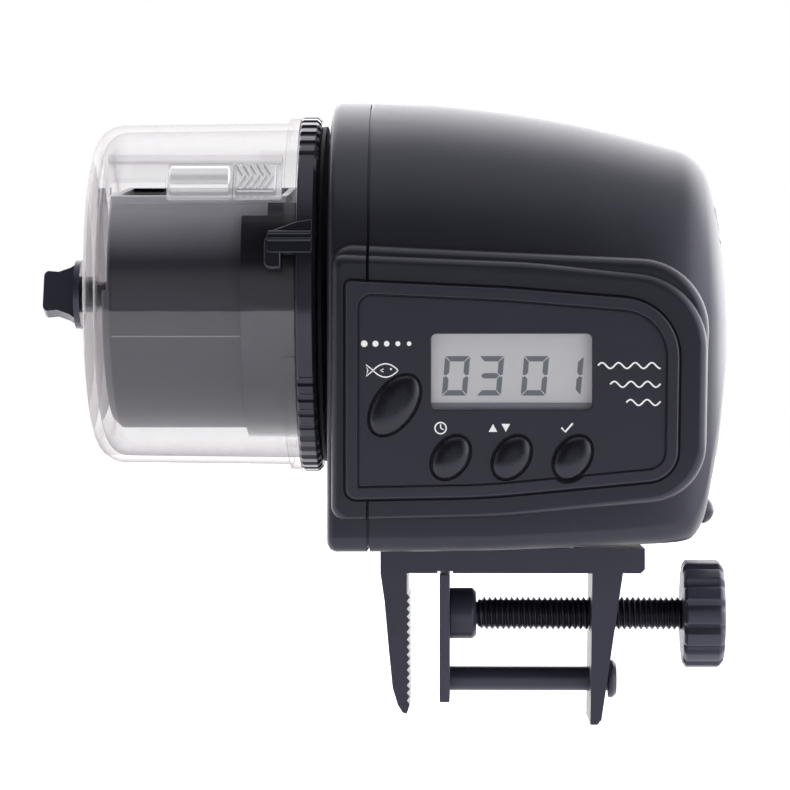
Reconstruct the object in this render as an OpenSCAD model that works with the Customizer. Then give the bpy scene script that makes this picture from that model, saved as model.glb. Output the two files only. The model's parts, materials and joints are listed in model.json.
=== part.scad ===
// Clamp-on automatic fish feeder. Millimetres, +Z up.
// +X runs from the canister to the clamp's knob, and the control panel faces -Y.
// The origin is on the underside of the clamp's top plate, where the tank's rim sits.

/* [Housing] */
// Height of the canister's axis above the rim seat
axis_z = 55.2; // [55:0.1:56]
// Thickness of the housing's wall
wall = 2; // [1.6:0.1:2.2]
// Place of the seam between the front cover and the main shell
seam_x = -10.2; // [-10.4:0.1:-10]
// Front face of the raised control housing
pod_y = -41; // [-41.5:0.1:-40.8]

/* [Canister] */
// Outer radius of the clear canister at its open end
canister_r = 34.1; // [34:0.05:34.2]
// Thickness of the canister's wall
canister_wall = 1.4; // [1.2:0.1:1.6]
// Outer radius of the metering rotor
rotor_r = 26.7; // [26:0.1:26.8]
// Radius over the ribs of the knurled ring
ring_r = 35.4; // [35.3:0.1:36]

/* [Clamp] */
// Depth of the clamp frame
clamp_depth = 24; // [20:1:26]
// Radius over the crests of the clamp's screw
screw_r = 3.3; // [3.2:0.05:3.4]
// Pitch of the clamp's screw
screw_pitch = 1.1; // [1:0.05:1.2]
// Radius of the clamp's knob
knob_r = 10.7; // [10:0.1:11.5]

/* [Gear train] */
// Module of the gears
gear_module = 0.8; // [0.79:0.01:0.8]
// Backlash taken off each tooth flank, in degrees of a 12-tooth pinion
backlash = 0.6; // [0.4:0.1:1]

/* [Hidden] */
$fn = 48;
big = 200;
black = "#1c1c1f";

// ---- Housing stations, from the front face to the far end: x, half width, top, widest level,
// bottom, radius of the bottom corners
front_x = -18;
stations = [
    [front_x, 36.6, 91.8, axis_z, 6.7, 2],
    [-17.4, 37.6, 92.8, axis_z, 5.7, 3],
    [-16.4, 38, 93.2, axis_z, 5.3, 3],
    [0, 38, 92.8, axis_z, 5.4, 3],
    [12.6, 37.5, 91.6, 55, 5.6, 3],
    [27.8, 36, 89.2, 54.5, 6.1, 3.2],
    [40, 34, 86.4, 53.5, 6.5, 3.6],
    [47.5, 32.3, 84.4, 52.6, 6.8, 4.2],
    [51, 31.1, 83.4, 52, 7.4, 5],
    [53.7, 29.4, 81.6, 51.4, 10.8, 6.2],
    [55.4, 27.8, 79.5, 50.8, 17.5, 7.4],
    [56.8, 25.6, 75.7, 50, 24.4, 8],
    [58.1, 21.6, 68.6, 48.4, 33.2, 8],
    [58.8, 17.5, 63.5, 47.5, 37.6, 7],
    [59.3, 12, 57, 46.8, 41, 5],
    [59.6, 6, 51.5, 46.4, 43.8, 2]
];
taper_start = 48;
taper_length = stations[len(stations) - 1][0] - taper_start;
arch_steps = 24;
corner_steps = 4;

// Outlines of the control housing, of the ledge around it and of the panel: x, z, corner radius
pod_corners = [
    [-17.1, 61.6, 2.5], [20, 60, 150], [53.7, 56.6, 14], [53.1, 15.8, 11.2], [14, 12.1, 150],
    [-17.1, 11.4, 2.7]
];
ledge_corners = [
    [-17.1, 63.6, 4], [54.8, 60.1, 13.5], [53.8, 44, 60], [53.3, 15.6, 11.4], [14, 11.9, 150],
    [-17.1, 11.3, 2.8]
];
ledge_y = pod_y + 1.6;
pod_depth = 15;
panel_corners = [
    [-14.3, 56.4, 0.8], [16, 55, 150], [48.3, 52.3, 11], [47.8, 19.3, 5.8], [12, 15.9, 150],
    [-14.3, 15.4, 2]
];
panel_front = pod_y - 1.2;
panel_back = pod_y + 0.8;
panel_ledge = 2.4;
window_x = 1.7;
window_z = 32.2;
window_size = [30.2, 14.3];
zebra_t = 1.4;
// Buttons: centre x, centre z, length, width
feed = [-5.1, 33.1, 12.6, 7.3];
small_buttons = [[5.4, 23.3, 8.7, 6.1], [16.8, 23.3, 8.7, 6.1], [28.2, 23.3, 8.7, 6.1]];
buttons = concat([feed], small_buttons);
button_lean = 35;
button_gap = 0.3;
button_travel = 0.8;
button_stem_r = 1.2;
button_flange = 0.8;
flange_overlap = 0.7;

board_y = -35.7;
board_t = 1.2;
board_x = [-9.5, 43];
board_z = [18.2, 51];
board_posts = [[-7.6, 48.6], [40.6, 46.6], [-7.6, 21.5], [38.4, 23.2]];
switch_height = board_y - (panel_back + 0.3 + button_flange + 0.5 + button_travel + 0.1);

// Batteries stand upright, side by side
cell_r = 7.25;
cell_length = 49.5;
cell_x = 44.3;
cell_y = 7.7;
tray_x = [35.6, 50.3];
tray_y = 16.6;
tray_z = [9.6, 68];
tray_wall = 1.2;
nub = 1;
spring_length = 4.5;
contact_t = 0.5;
// How far a contact's solder tab comes out of the tray
tab_out = 0.6;
wire_r = 0.55;
wire_x = 33;

// Battery door: pivot and the two steps of its outline
door_pivot = [55.3, 68.2];
door_barrel_r = 1.8;
door_half = 17;
door_tongue = 12.8;
door_z = [9.4, 64.5];
door_gap = 0.15;
door_pin_r = 0.9;
// Height of the opening above the pivot, so that the door's head can swing out
door_head_room = 3.1;
grip_centre = [54.6, 12.2];
grip_r = 2.8;
grip_half = 4;

// Gearbox
plate_t = 1.8;
plate_front_x = -12.4;
plate_back_x = 3;
plate_half = 26.3;
plate_z = [11.5, 71];
idler_z = axis_z - 30 * gear_module;
motor_y = 17;
motor_z = 22;
motor_angle = atan2(motor_z - idler_z, motor_y);
terminal_z = 3.6;
terminal_end = 30.6;
pillars = [[-22.8, 67], [22.8, 67], [-22.5, 18], [23.4, 14.4]];
pillar_r = 1.8;
switch_holes_y = [-4.6, 4.6];
switch_holes_z = 69;
shaft_r = 4;
bush_r = 6;
fit = 0.05;
case_bosses = [[-32.6, 10.3], [32.6, 10.3], [-22, 81], [22, 81]];
case_boss_r = 3.6;
mount_screws = [[0, -7], [0, 7], [28, -7], [28, 7]];

// Canister, by distance along the axis
shell_left = -65.3;
shell_right = -24.4;
shell_corner = 5.5;
ring_left = -24.2;
ring_right = -20.2;
hub_right = -19.2;
hub_r = 33.4;
hex_r = 8;
rotor_left = -62;
rotor_right = -26.5;
rotor_flat = 20.5;
// The rotor's flat leans towards the panel's side by this angle
rotor_tilt = 6.4;
rotor_wall = 1.6;
rail_left = -60.5;
flange_left = -26.6;
flange_r = 35;
catch_angles = [4.5, 10, 22];
catch_r = 36.7;
twist = 25;
slider_angle = 36.5;
slider_left = -49;
slider_right = -27;
slider_half = 4.6;
slider_t = 1;
rib_count = 60;

// Clamp
screw_z = -8.6;
rod_z = -21.6;
rod_r = 2.42;
jaw_face = -3.4;
tooth_pitch = 1.5;
tooth_depth = 0.6;
plate_x = [3, 5];
// Shallow groove in the clamp's top plate, over the pressure plate; the rim seat ends at it
relief = [2.6, 5.6];
socket_right = 10.3;
socket_r = 5.1;
knob_x = [51.2, 59.4];
thread_x = [10.7, 51.2];

// ---- Shared shapes

// Turns a shape so that its own z runs along +X, its x along +Y and its y along +Z
module along_x(x = 0, y = 0, z = 0) {
    translate([x, y, z]) rotate([90, 0, 90]) children();
}

module rod_x(x0, x1, r, y = 0, z = 0) {
    along_x(x0, y, z) cylinder(h = x1 - x0, r = r);
}

module tube_x(x0, x1, r, bore, y = 0, z = 0) {
    difference() {
        rod_x(x0, x1, r, y, z);
        rod_x(x0 - 1, x1 + 1, bore, y, z);
    }
}

// A solid of revolution about the canister's axis; the profile's points are radius, x
module spun(profile, y = 0, z = axis_z) {
    along_x(0, y, z) rotate_extrude($fn = 96) polygon(profile);
}

// A plate in the XZ plane, from y0 to y1
module slab_y(y0, y1) {
    translate([0, y1, 0]) rotate([90, 0, 0]) linear_extrude(y1 - y0) children();
}

module block(low, high) {
    translate(low) cube(high - low);
}

function unit(v) = v / norm(v);

// Arc that rounds the corner b between a and c
function corner_arc(a, b, c, r, steps) =
    let (
        u = unit(a - b),
        v = unit(c - b),
        half = acos(u * v) / 2,
        centre = b + unit(u + v) * r / sin(half),
        first = b + u * r / tan(half) - centre,
        last = b + v * r / tan(half) - centre,
        start = atan2(first.y, first.x),
        turn = (atan2(last.y, last.x) - start + 540) % 360 - 180
    )
    [for (i = [0:steps]) centre + r * [cos(start + turn * i / steps), sin(start + turn * i / steps)]];

// Polygon with rounded corners, pulled in by inset
function rounded(corners, inset = 0) =
    let (n = len(corners))
    [for (i = [0:n - 1])
        let (
            a = [corners[(i + n - 1) % n].x, corners[(i + n - 1) % n].y],
            b = [corners[i].x, corners[i].y],
            c = [corners[(i + 1) % n].x, corners[(i + 1) % n].y],
            u = unit(a - b),
            v = unit(c - b),
            half = acos(u * v) / 2,
            moved = b + unit(u + v) * inset / sin(half)
        )
        each corner_arc(moved + u, moved, moved + v, max(corners[i][2] - inset, 0.4), 8)];

function ellipse(length, width, steps = 48) =
    [for (i = [0:steps - 1]) [length / 2 * cos(360 * i / steps), width / 2 * sin(360 * i / steps)]];

// Closed skin through rings that all have the same number of points
module loft(rings) {
    n = len(rings[0]);
    last = len(rings) - 1;
    polyhedron(
        points = [for (ring = rings) each ring],
        faces = concat(
            [[for (i = [0:n - 1]) i]],
            [for (k = [0:last - 1], i = [0:n - 1])
                each [
                    [k * n + i, (k + 1) * n + i, k * n + (i + 1) % n],
                    [k * n + (i + 1) % n, (k + 1) * n + i, (k + 1) * n + (i + 1) % n]
                ]],
            [[for (i = [n - 1:-1:0]) last * n + i]]
        )
    );
}

// Arch section of the housing
function arch_ring(s) =
    let (half = s[1], level = s[3], low = s[4], r = s[5])
    concat(
        [for (i = [0:arch_steps]) let (a = 180 * i / arch_steps)
            [s[0], half * cos(a), level + (s[2] - level) * sin(a)]],
        [for (i = [0:corner_steps]) let (a = 180 + 90 * i / corner_steps)
            [s[0], r - half + r * cos(a), low + r + r * sin(a)]],
        [for (i = [0:corner_steps]) let (a = 270 + 90 * i / corner_steps)
            [s[0], half - r + r * cos(a), low + r + r * sin(a)]]
    );

function inner_station(s) = [
    s[0] - wall * max(0, (s[0] - taper_start) / taper_length),
    s[1] - wall, s[2] - wall, s[3], s[4] + wall, max(s[5] - wall, 1)
];

module housing_skin() {
    loft([for (s = stations) arch_ring(s)]);
}

module housing_cavity() {
    first = stations[2];
    start = [front_x + wall, first[1] - wall, first[2] - wall, first[3], first[4] + wall, 1];
    loft(concat(
        [arch_ring(start)],
        [for (i = [3:len(stations) - 1]) arch_ring(inner_station(stations[i]))]
    ));
}

module pod_solid() {
    slab_y(pod_y + 0.8, pod_y + pod_depth) polygon(rounded(pod_corners));
    slab_y(pod_y, pod_y + 0.8) polygon(rounded(pod_corners, 0.5));
    slab_y(ledge_y, pod_y + pod_depth) polygon(rounded(ledge_corners));
}

module pod_cavity() {
    slab_y(pod_y + wall, pod_y + pod_depth + 1) polygon(rounded(pod_corners, wall));
    slab_y(panel_back - 5, panel_back) polygon(rounded(panel_corners, -0.15));
    slab_y(pod_y - 5, pod_y + 5) polygon(rounded(panel_corners, panel_ledge));
    for (b = buttons) slab_y(pod_y - 1, pod_y + wall + 1) button_outline(b, flange_overlap + 0.25);
}

module housing() {
    difference() {
        union() {
            housing_skin();
            pod_solid();
        }
        housing_cavity();
        pod_cavity();
    }
}

module rear_of_seam() {
    block([seam_x, -big, -big], [big, big, big]);
}

// Outline of the battery door, grown by gap, with room for its shoulders and barrel to swing up
module door_block(gap = 0, shoulder_room = 0, barrel_room = 0) {
    block([50, -door_half - gap, door_z[0] - gap], [big, door_half + gap, door_z[1] + shoulder_room]);
    block([50, -door_tongue - gap, door_z[1] - 1],
          [big, door_tongue + gap, door_pivot[1] + barrel_room]);
}

// ---- Housing

module main_shell() {
    color(black) difference() {
        union() {
            intersection() {
                housing();
                rear_of_seam();
            }
            for (b = case_bosses) rod_x(seam_x, seam_x + 7, case_boss_r, b.x, b.y);
            for (m = mount_screws) translate([m.x, m.y, 5]) cylinder(h = 5.8, r = 3);
            intersection() {
                housing_skin();
                for (side = [-1, 1]) door_ear(side);
            }
        }
        for (b = case_bosses) rod_x(seam_x - 1, seam_x + 6, 1.3, b.x, b.y);
        for (m = mount_screws) translate([m.x, m.y, 4]) cylinder(h = 6.3, r = 1.55);
        door_block(door_gap, 0.9, door_head_room);
        rod_y(door_barrel_r + 0.2, door_tongue + door_gap);
        barrel_pins(door_pin_r + fit, 3.2);
    }
}

module door_ear(side) {
    y = side * (door_tongue + door_gap + 1.5);
    block([door_pivot[0] - 2.8, y - 1.5, door_z[1] + 0.4], [60, y + 1.5, door_pivot[1] + 3.6]);
}

// Hinge barrel and pins lie along Y
module rod_y(r, half) {
    translate([door_pivot[0], half, door_pivot[1]]) rotate([90, 0, 0]) cylinder(h = 2 * half, r = r);
}

module barrel_pins(r, length) {
    rod_y(r, door_tongue - 1 + length);
}

module front_cover() {
    color(black) difference() {
        union() {
            difference() {
                housing();
                rear_of_seam();
            }
            rod_x(front_x + 1, plate_front_x - 0.1, 9, 0, axis_z);
            for (b = case_bosses) rod_x(front_x + 1, seam_x, case_boss_r, b.x, b.y);
            for (p = [pillars[0], pillars[1]]) rod_x(front_x + 1, plate_front_x, 3, p.x, p.y);
        }
        rod_x(front_x - 1, seam_x, bush_r + 0.02, 0, axis_z);
        for (b = case_bosses) {
            rod_x(front_x - 1, seam_x + 1, 1.55, b.x, b.y);
            rod_x(front_x - 1, front_x + 1.8, 2.9, b.x, b.y);
        }
    }
}

module case_screws() {
    color("silver") for (b = case_bosses) difference() {
        union() {
            rod_x(front_x + 0.2, front_x + 1.8, 2.7, b.x, b.y);
            rod_x(front_x + 1.7, seam_x + 5.8, 1.25, b.x, b.y);
        }
        cross_slot(front_x + 0.1, b);
    }
}

module cross_slot(x, at) {
    translate([x, at.x, at.y]) for (a = [0, 90]) rotate([a, 0, 0])
        translate([0, -1.6, -0.3]) cube([0.9, 3.2, 0.6]);
}

// ---- Panel, display and buttons

module button_outline(b, grow = 0) {
    translate([b[0], b[1]]) rotate(90 - button_lean)
        polygon(ellipse(b[2] + 2 * grow, b[3] + 2 * grow));
}

module control_panel() {
    color("#232327") difference() {
        union() {
            slab_y(panel_front, panel_back) polygon(rounded(panel_corners));
            for (p = board_posts) slab_y(panel_back - 0.1, board_y) translate(p) circle(r = 1.9);
        }
        slab_y(panel_front - 1, panel_front + 0.5) polygon(rounded(panel_corners, 2.4));
        slab_y(panel_front - 1, panel_back + 1)
            translate([window_x + 0.9, window_z + 0.9])
            square([window_size.x - 1.8, window_size.y - 1.8]);
        slab_y(panel_front - 1, panel_front + 1.3)
            translate([window_x - 0.05, window_z - 0.05])
            square([window_size.x + 0.1, window_size.y + 0.1]);
        for (b = buttons)
            slab_y(panel_front - 1, panel_back + 1) button_outline(b, button_gap);
        for (p = board_posts) slab_y(board_y - 3, board_y + 1) translate(p) circle(r = 0.85);
    }
}

module lcd_window() {
    color("#9aa09c80") slab_y(panel_front + 0.3, panel_front + 1.3)
        translate([window_x, window_z]) square(window_size);
}

module lcd_display() {
    color("#8c918c") slab_y(panel_back + 0.1, board_y - zebra_t)
        translate([window_x - 0.8, window_z - 1]) square([window_size.x + 2.4, window_size.y + 2]);
}

module zebra_strip() {
    color("#d58a8a") slab_y(board_y - zebra_t, board_y)
        translate([window_x, window_z + window_size.y - 1.6]) square([window_size.x, 2]);
}

// A button has a domed cap, a flange behind the panel and a stem over its switch
module push_button(b) {
    color(black) {
        slab_y(panel_front - 0.3, panel_back + 0.2) button_outline(b);
        slab_y(panel_front - 0.7, panel_front - 0.3) button_outline(b, -0.5);
        slab_y(panel_front - 0.95, panel_front - 0.7) button_outline(b, -1.4);
        slab_y(panel_back + 0.2, panel_back + 0.2 + button_flange) button_outline(b, flange_overlap);
        slab_y(panel_back + 0.1 + button_flange, panel_back + 0.7 + button_flange)
            translate([b[0], b[1]]) circle(r = button_stem_r);
    }
}

module feed_button() {
    push_button(feed);
}

module mode_button() {
    push_button(small_buttons[0]);
}

module adjust_button() {
    push_button(small_buttons[1]);
}

module set_button() {
    push_button(small_buttons[2]);
}

module tact_switches() {
    plunger = 0.5;
    for (b = buttons) {
        color("#2b2b2b") slab_y(board_y - switch_height + plunger, board_y)
            translate([b[0] - 2.2, b[1] - 2.2]) square(4.4);
        color("#cccccc") slab_y(board_y - switch_height, board_y - switch_height + plunger + 0.1)
            translate([b[0], b[1]]) circle(r = 1.5);
    }
}

module control_board() {
    color("#1f5a34") difference() {
        slab_y(board_y, board_y + board_t)
            translate([board_x[0], board_z[0]])
            square([board_x[1] - board_x[0], board_z[1] - board_z[0]]);
        for (p = board_posts) slab_y(board_y - 1, board_y + 3) translate(p) circle(r = 1);
    }
    color("#101010") slab_y(board_y + board_t, board_y + board_t + 1.4)
        translate([10, 28]) square(8);
    color("#b0a060") slab_y(board_y + board_t, board_y + board_t + 2.2)
        translate([22, 40]) square([7, 2.4]);
}

module board_screws() {
    color("silver") for (p = board_posts) {
        slab_y(board_y + board_t, board_y + board_t + 1.1) translate(p) circle(r = 1.7);
        slab_y(board_y - 2.5, board_y + board_t + 0.1) translate(p) circle(r = 0.8);
    }
}

// ---- Batteries

module battery_tray() {
    color("#26262a") difference() {
        block([tray_x[0], -tray_y, tray_z[0]], [tray_x[1], tray_y, tray_z[1]]);
        block([tray_x[0] + tray_wall, tray_wall - tray_y, tray_z[0] + tray_wall],
              [big, tray_y - tray_wall, tray_z[1] - tray_wall]);
        for (side = [-1, 1])
            block([tray_x[0] - 1, side * cell_y - 1.6, tray_z[1] - 6],
                  [tray_x[0] + 2, side * cell_y + 1.6, tray_z[1] - tray_wall]);
    }
}

module cell(y, z, up) {
    color("#2f6f3f") translate([cell_x, y, z]) cylinder(h = cell_length, r = cell_r);
    color("silver") translate([cell_x, y, up ? z + cell_length : z - nub])
        cylinder(h = nub, r = 2.6);
}

module battery_cells() {
    low = tray_z[0] + tray_wall + contact_t;
    cell(cell_y, low + spring_length, true);
    cell(-cell_y, low + nub, false);
}

// Spring shown as a short stack of wire rings on its contact plate
module contact_spring(y, z) {
    rings = 5;
    step = (spring_length - 2 * wire_r) / (rings - 1);
    translate([cell_x, y, z]) rotate_extrude()
        for (i = [0:rings - 1]) translate([3.4, wire_r + i * step]) circle(r = wire_r, $fn = 24);
}

module battery_contacts() {
    floor_z = tray_z[0] + tray_wall;
    roof_z = tray_z[1] - tray_wall - contact_t;
    color("#c9c9cc") {
        block([cell_x - 5, -cell_y - 5, floor_z], [cell_x + 5, cell_y + 5, floor_z + contact_t]);
        for (side = [-1, 1]) {
            block([cell_x - 5, side * cell_y - 5, roof_z],
                  [cell_x + 5, side * cell_y + 5, roof_z + contact_t]);
            block([tray_x[0] - tab_out, side * cell_y - 1.5, roof_z],
                  [cell_x - 4, side * cell_y + 1.5, roof_z + contact_t]);
        }
        translate([0, 0, 0.02]) contact_spring(cell_y, floor_z + contact_t - 0.04);
        contact_spring(-cell_y, roof_z - spring_length);
    }
}

module battery_door() {
    color(black) {
        difference() {
            intersection() {
                housing_skin();
                door_block();
            }
            housing_cavity();
            translate([door_pivot[0] - 6, -big / 2, door_pivot[1] - 0.9]) cube([20, big, 20]);
        }
        intersection() {
            housing_skin();
            rod_y(door_barrel_r, door_tongue);
        }
        barrel_pins(door_pin_r, 2.8);
        intersection() {
            block([53, -10, 9.6], [60, 10, 16]);
            union() {
                translate([grip_centre[0], grip_half, grip_centre[1]]) rotate([90, 0, 0])
                    cylinder(h = 2 * grip_half, r = grip_r);
                for (side = [-1, 1])
                    translate([grip_centre[0], side * grip_half, grip_centre[1]]) sphere(r = grip_r);
            }
        }
    }
}

// ---- Gears

function involute_angle(a) = tan(a) * 180 / PI - a;

// Outline of a spur gear with a 25 degree pressure angle, one tooth centred on angle 0
function gear_points(teeth) =
    let (
        pitch_r = teeth * gear_module / 2,
        base_r = pitch_r * cos(25),
        tip_r = pitch_r + 0.95 * gear_module,
        root_r = pitch_r - 1.25 * gear_module,
        low_r = max(base_r, root_r),
        half = 90 / teeth + involute_angle(25) - backlash * 12 / teeth,
        flank = [for (i = [0:3]) let (r = low_r + (tip_r - low_r) * i / 3)
            [r, half - involute_angle(acos(min(1, base_r / r)))]],
        foot = [root_r, half - involute_angle(acos(min(1, base_r / low_r)))]
    )
    [for (t = [0:teeth - 1], side = [-1, 1], i = [0:4])
        let (
            k = side < 0 ? i : 4 - i,
            p = k == 0 ? foot : flank[k - 1],
            a = 360 * t / teeth + side * p[1]
        )
        [p[0] * cos(a), p[0] * sin(a)]];

module gear_x(x0, x1, teeth, y, z, phase) {
    along_x(x0, y, z) rotate(phase) linear_extrude(x1 - x0) polygon(gear_points(teeth));
}

module output_gear() {
    color("#e8e4d8") difference() {
        union() {
            gear_x(-9.4, -4.4, 48, 0, axis_z, 0);
            rod_x(-10.4, -3.8, 7, 0, axis_z);
        }
        rod_x(-11, 0, shaft_r + 0.03, 0, axis_z);
        for (a = [0:60:300])
            along_x(-11, 0, axis_z) rotate(a) translate([12.6, 0]) cylinder(h = 9, r = 3);
    }
}

module idler_gear() {
    color("#e8e4d8") difference() {
        union() {
            gear_x(-9.6, -3.2, 12, 0, idler_z, 15);
            gear_x(-3.2, 0.8, 36, 0, idler_z, motor_angle);
            rod_x(0.7, 2.7, 3, 0, idler_z);
        }
        rod_x(-10, 3, 1.5 + fit, 0, idler_z);
        for (a = [30:60:330])
            along_x(-2.9, 0, idler_z) rotate(a) translate([9.2, 0]) cylinder(h = 9, r = 2.4);
    }
}

module idler_axle() {
    color("silver") {
        rod_x(plate_front_x - 0.8, plate_back_x + plate_t + 0.8, 1.5, 0, idler_z);
        rod_x(plate_back_x + plate_t + 0.01, plate_back_x + plate_t + 1.4, 2.4, 0, idler_z);
    }
}

module drive_pinion() {
    color("#e8e4d8") difference() {
        gear_x(-3.4, 1.2, 12, motor_y, motor_z, motor_angle + 180 + 15);
        rod_x(-4, 2, 1.5, motor_y, motor_z);
    }
    color("silver") rod_x(-4, 5, 1.5, motor_y, motor_z);
}

module motor_gearhead() {
    color("#c8a85a") difference() {
        union() {
            block([plate_back_x + plate_t + 0.2, motor_y - 6, motor_z - 5],
                  [14, motor_y + 6, motor_z + 5]);
            rod_x(plate_back_x + 0.1, plate_back_x + plate_t + 0.3, 2.4, motor_y, motor_z);
        }
        rod_x(plate_back_x - 1, 5.2, 1.5 + fit, motor_y, motor_z);
    }
}

module motor_can() {
    color("silver") {
        intersection() {
            rod_x(14, 29, 6, motor_y, motor_z);
            block([13, motor_y - 7, motor_z - 5], [30, motor_y + 7, motor_z + 5]);
        }
        rod_x(28.9, 30, 2.4, motor_y, motor_z);
        for (dz = [-terminal_z, terminal_z])
            block([28.9, motor_y - 0.8, motor_z + dz - 0.25],
                  [terminal_end, motor_y + 0.8, motor_z + dz + 0.25]);
    }
}

module plate_shape() {
    half = plate_half;
    polygon(rounded([
        [-half, plate_z[0], 5], [half, plate_z[0], 2.5],
        [half, plate_z[1], 5], [-half, plate_z[1], 5]
    ]));
}

module gear_plate_front() {
    color("#d8d4c8") difference() {
        along_x(plate_front_x) linear_extrude(plate_t) plate_shape();
        rod_x(-20, 0, bush_r + 0.02, 0, axis_z);
        rod_x(-20, 0, 1.5 + 0.02, 0, idler_z);
        for (p = pillars) rod_x(-20, 0, 1.25, p.x, p.y);
    }
}

module gear_plate_back() {
    color("#d8d4c8") difference() {
        along_x(plate_back_x) linear_extrude(plate_t) plate_shape();
        rod_x(0, 9, bush_r + 0.02, 0, axis_z);
        rod_x(0, 9, 1.5 + 0.02, 0, idler_z);
        rod_x(0, 9, 2.5, motor_y, motor_z);
        for (p = pillars) rod_x(0, 9, 1.25, p.x, p.y);
        for (y = switch_holes_y) rod_x(0, 9, 0.9, y, switch_holes_z);
    }
}

module gear_pillars() {
    color("#b8b8bc") for (p = pillars)
        tube_x(plate_front_x + plate_t, plate_back_x, pillar_r, 1.05, p.x, p.y);
}

module gear_screws() {
    color("silver") for (p = pillars) {
        rod_x(plate_back_x + plate_t, plate_back_x + plate_t + 1.4, 2.2, p.x, p.y);
        rod_x(plate_front_x + 0.2, plate_back_x + plate_t + 0.1, 1, p.x, p.y);
    }
    color("silver") for (y = switch_holes_y) {
        rod_x(plate_back_x + plate_t, plate_back_x + plate_t + 1, 1.5, y, switch_holes_z);
        rod_x(-1, plate_back_x + plate_t + 0.1, 0.8, y, switch_holes_z);
    }
}

// ---- Drive shaft

module drive_shaft() {
    color("silver") difference() {
        rod_x(hub_right - 3.2, 8, shaft_r, 0, axis_z);
        tube_x(5.4, 6.3, shaft_r + 1, 3, 0, axis_z);
        block([hub_right - 4, -big, axis_z + 3], [hub_right + 0.01, big, big]);
    }
}

module shaft_bushes() {
    bore = shaft_r + fit;
    collar_x = plate_back_x + plate_t;
    color("#b08d4a") {
        tube_x(front_x, plate_front_x + plate_t, bush_r, bore, 0, axis_z);
        tube_x(plate_back_x - 0.2, collar_x, bush_r, bore, 0, axis_z);
        tube_x(collar_x, collar_x + 0.4, bush_r + 1.2, bore, 0, axis_z);
    }
}

module shaft_clip() {
    color("silver") difference() {
        tube_x(5.45, 6.25, 6.4, 3.05, 0, axis_z);
        block([4, -2.4, axis_z], [8, 2.4, big]);
    }
}

module position_cam() {
    color("#c03030") difference() {
        union() {
            rod_x(-3.6, -1.2, 6.4, 0, axis_z);
            along_x(-3.6, 0, axis_z) linear_extrude(2.4)
                polygon([[-3.4, 5.2], [-1.2, 7.9], [1.2, 7.9], [3.4, 5.2]]);
        }
        rod_x(-5, 0, shaft_r + 0.03, 0, axis_z);
    }
}

module position_switch() {
    color("#303034") difference() {
        block([-2.8, -6.4, 65.6], [plate_back_x, 6.4, 72]);
        for (y = switch_holes_y) rod_x(-4, 4, 0.9, y, switch_holes_z);
    }
    color("silver") block([-2.4, -5.6, 64.2], [-1.6, 5, 64.6]);
    color("silver") block([-2.4, -5.6, 64.4], [-1.6, -5, 65.7]);
}

// ---- Canister

module hex_prism(x0, x1, r) {
    along_x(x0, 0, axis_z) cylinder(h = x1 - x0, r = r, $fn = 6);
}

module drive_hub() {
    color(black) difference() {
        union() {
            rod_x(ring_right + 0.1, hub_right, hub_r, 0, axis_z);
            hex_prism(ring_left + 1.7, ring_right + 0.2, hex_r);
        }
        difference() {
            rod_x(-23, 0, shaft_r + 0.03, 0, axis_z);
            block([-30, -big, axis_z + 3.03], [0, big, big]);
        }
    }
}

// Part of a ring about the canister's axis, between two angles up from the panel's side
module sector(x0, x1, r0, r1, a0, a1) {
    mid = (a0 + a1) / 2;
    half = (a1 - a0) / 2;
    reach = r1 * 1.2;
    along_x(x0, 0, axis_z) linear_extrude(x1 - x0) intersection() {
        difference() {
            circle(r = r1, $fn = 96);
            circle(r = r0, $fn = 96);
        }
        rotate(180 - mid) polygon([
            [0, 0], [reach, -reach * tan(half)], [reach, reach * tan(half)]
        ]);
    }
}

module drum_ring() {
    catch_left = flange_left - 3.7;
    color(black) difference() {
        union() {
            spun([
                [0, ring_left], [ring_r - 0.5, ring_left], [ring_r, ring_left + 0.5],
                [ring_r, ring_right - 0.7], [ring_r - 0.7, ring_right], [0, ring_right]
            ]);
            difference() {
                tube_x(-35, ring_left + 0.1, 28.6, 27.2, 0, axis_z);
                block([-36, -big, axis_z + 14.4], [-30, big, big]);
                block([-30.1, -big, axis_z + 17], [ring_left, big, big]);
            }
            for (a = [0, 180]) {
                low = a + catch_angles[0];
                mid = a + catch_angles[1];
                high = a + catch_angles[2];
                sector(catch_left, ring_left + 0.1, flange_r + 0.3, catch_r, mid, high);
                sector(catch_left, flange_left - 0.3, canister_r + 0.3, catch_r, low, high);
                sector(ring_left, ring_right - 0.7, 33, catch_r, mid, high);
            }
        }
        hex_prism(ring_left + 1.55, ring_right + 1, hex_r + 0.15);
        for (i = [0:rib_count - 1]) if (ribbed(i * 360 / rib_count))
            along_x(ring_left - 1, 0, axis_z) rotate(180 - i * 360 / rib_count)
                translate([ring_r + 0.35, 0]) cylinder(h = 6, r = 0.95, $fn = 24);
    }
}

// The ribs stop on either side of each catch, from 28 degrees below it to 44 above
function ribbed(a) = (a + 28) % 180 > 72;

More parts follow.
